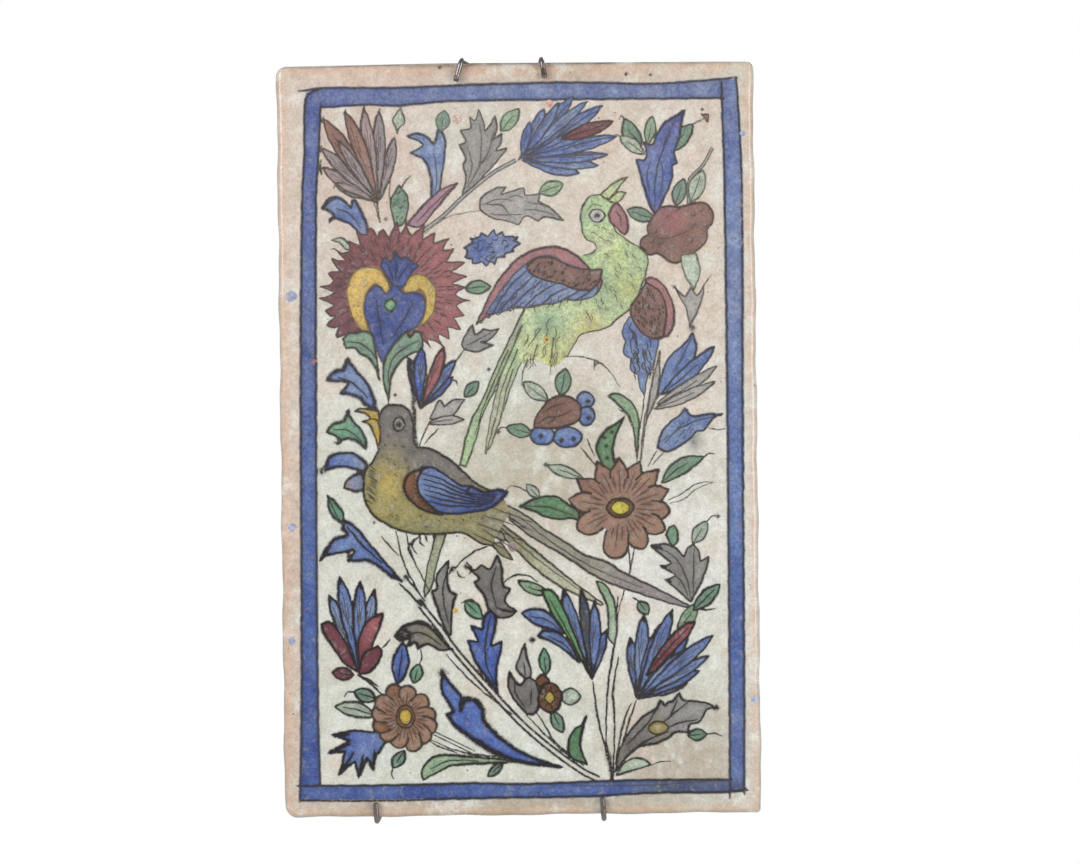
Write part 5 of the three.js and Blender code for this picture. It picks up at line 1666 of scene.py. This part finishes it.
# washes: pooled and thin by turns, then cobalt specks and stipple, each a darker grain of its own colour
washes = glaze.mix(washed, ground, paint)
pooled = glaze.mix(glaze.step(water * 0.5 + blots * 0.5, 0.38, 0.62) * washed, (1, 1, 1), (0.70, 0.72, 0.78))
washes = darkened(washes, pooled)
washes = glaze.mix(glaze.step(blots, 0.5, 0.75) * washed * 0.4, washes, paint_colour(206, 204, 200))
uneven = glaze.mix(glaze.step(water, 0.38, 0.62), (1.13, 1.11, 1.04), (0.8, 0.83, 0.98))
washes = glaze.mix(cobalt, washes, darkened(washes, uneven))
specks = glaze.step(grain + (blots - 0.5) * 0.5, 0.5, 0.64) * cobalt
washes = glaze.mix(specks * 0.75, washes, darkened(washes, (0.36, 0.38, 0.55)))
stipple = glaze.step(grain + (fine - 0.5) * 0.5, 0.5, 0.62) * maroon
washes = glaze.mix(stipple * 0.8, washes, darkened(washes, (0.42, 0.34, 0.34)))
mottle = glaze.mix(glaze.step(grain * 0.6 + fine * 0.4, 0.39, 0.61), (0.66, 0.66, 0.68), (1.4, 1.39, 1.36))
washes = glaze.mix(washed * 0.5 + (cobalt + maroon) * 0.3 + 0.14, washes, darkened(washes, mottle))

# ink: its edge wanders with the grain, it bleeds a little into the wash, and a dry brush left it thin
edge = line_value + (grain - 0.5) * 0.9 + (fine - 0.5) * 0.5
bled = glaze.step(edge, 0.08, 0.6) * (0.25 + tone * 0.25)
inked = glaze.step(edge, 0.45, 0.78) * glaze.step(fine + (grain - 0.5) * 0.7 + tone * 0.35, 0.52, 0.84, 0.4,
                                                  0.97)
ink_colour = glaze.mix(tone, paint_colour(112, 102, 92), paint_colour(34, 29, 27))
face = glaze.mix(inked, glaze.mix(bled, washes, darkened(washes, (0.3, 0.3, 0.31))), ink_colour)
face = glaze.mix(grits * 0.8, face, paint_colour(54, 48, 46))

# the sides and the back: bare sandy clay where the glaze stops
axes = glaze.node("ShaderNodeSeparateXYZ", None, {"Vector": glaze.here})
depth = Value(glaze, axes.socket.node.outputs["Y"]) / MM - FACE_Y
bare = glaze.step(depth + (clouds - 0.5) * 9 + (blots - 0.5) * 3, 7.0, 8.2)
clay = glaze.mix(glaze.noise(2.2, detail=5, rough=0.7), paint_colour(196, 176, 150),
                 paint_colour(232, 220, 200))
clay = glaze.mix(glaze.step(glaze.noise(16, detail=6, rough=0.7), 0.46, 0.72) * 0.4, clay,
                 paint_colour(172, 146, 118))
clay = glaze.mix(glaze.step(glaze.cells(5), 0.1, 0.04) * 0.7, clay, paint_colour(120, 98, 78))
sand = glaze.cells(0.7)
ripple = glaze.noise(14, detail=2)
pinholes = glaze.step(glaze.cells(2.9), 0.07, 0.02) * (1 - bare)
height = ((ripple * 0.9 + glaze.noise(2.4, detail=3) * 0.12 - pinholes * 0.25) * (1 - bare)
          + (sand * 0.4 + grain * 0.5) * bare)
glaze.set(
    base_color=glaze.mix(bare, face, clay),
    roughness=glaze.step(fine, 0.3, 0.8, 0.16, 0.26) + bare * 0.6 + pinholes * 0.3,
    normal=glaze.bump(height, 0.5, 0.0003))
tile_mesh.materials.append(glaze.material)

# %% [markdown]
# ## The setting
# A plain pale floor lies well below the hung tile. The light is soft and white from all round, with a
# little more from the upper left. The camera stands straight in front of the face, as in the photograph,
# and is rolled by the small turn that the photographed tile shows.

# %% The floor
FLOOR_Z = -0.45
bpy.ops.mesh.primitive_circle_add(vertices=96, radius=0.7, fill_type="NGON", location=(0, 0, FLOOR_Z))
floor = bpy.context.active_object
floor.name = "floor"
pale = Finish("floor_pale")
floor.data.materials.append(pale.set(
    base_color=pale.mix(pale.noise(60), paint_colour(236, 235, 232), paint_colour(228, 227, 224)),
    roughness=0.85))

# %% The light and the camera
world = bpy.data.worlds.new("studio")
bpy.context.scene.world = world
world.use_nodes = True
LIGHT_FROM_SKY, SEEN_SKY = 0.42, 1.0  # white to the camera, but a dimmer light
sky = world.node_tree.nodes["Background"]
sky.inputs["Color"].default_value = (1, 1, 1, 1)
seen = world.node_tree.nodes.new("ShaderNodeLightPath")
strength = world.node_tree.nodes.new("ShaderNodeMapRange")
strength.inputs["To Min"].default_value, strength.inputs["To Max"].default_value = LIGHT_FROM_SKY, SEEN_SKY
world.node_tree.links.new(seen.outputs["Is Camera Ray"], strength.inputs["Value"])
world.node_tree.links.new(strength.outputs["Result"], sky.inputs["Strength"])
bpy.context.scene.view_settings.view_transform = "Standard"


def soft_light(name, at, size, watts):
    """A broad lamp in metres, aimed at the tile's middle."""
    light = bpy.data.lights.new(name, "AREA")
    light.shape, light.size, light.size_y = "RECTANGLE", *size
    light.energy = watts
    lamp = bpy.data.objects.new(name, light)
    bpy.context.collection.objects.link(lamp)
    lamp.location = at
    lamp.rotation_euler = (place(0, 0, 0) - Vector(at)).to_track_quat("-Z", "Y").to_euler()


soft_light("key_light", (-1.2, -0.95, 0.45), (0.7, 0.9), 13.0)
soft_light("fill_light", (1.25, -0.95, 0.1), (0.7, 0.9), 10.5)
soft_light("back_light", (0.5, 1.0, 0.5), (0.6, 0.6), 6.0)

CAMERA_DISTANCE, CAMERA_ROLL = 1300, 0.67  # millimetres in front of the face, and degrees
camera_data = bpy.data.cameras.new("camera")
camera_data.lens, camera_data.sensor_width = 105.3, 36
camera = bpy.data.objects.new("camera", camera_data)
bpy.context.collection.objects.link(camera)
camera.location = place(8.74, 3.05, FACE_Y - CAMERA_DISTANCE)
camera.rotation_euler = (math.pi / 2, math.radians(CAMERA_ROLL), 0)
bpy.context.scene.camera = camera
print(f"camera: {CAMERA_DISTANCE} mm in front of the face, {camera_data.lens} mm lens")
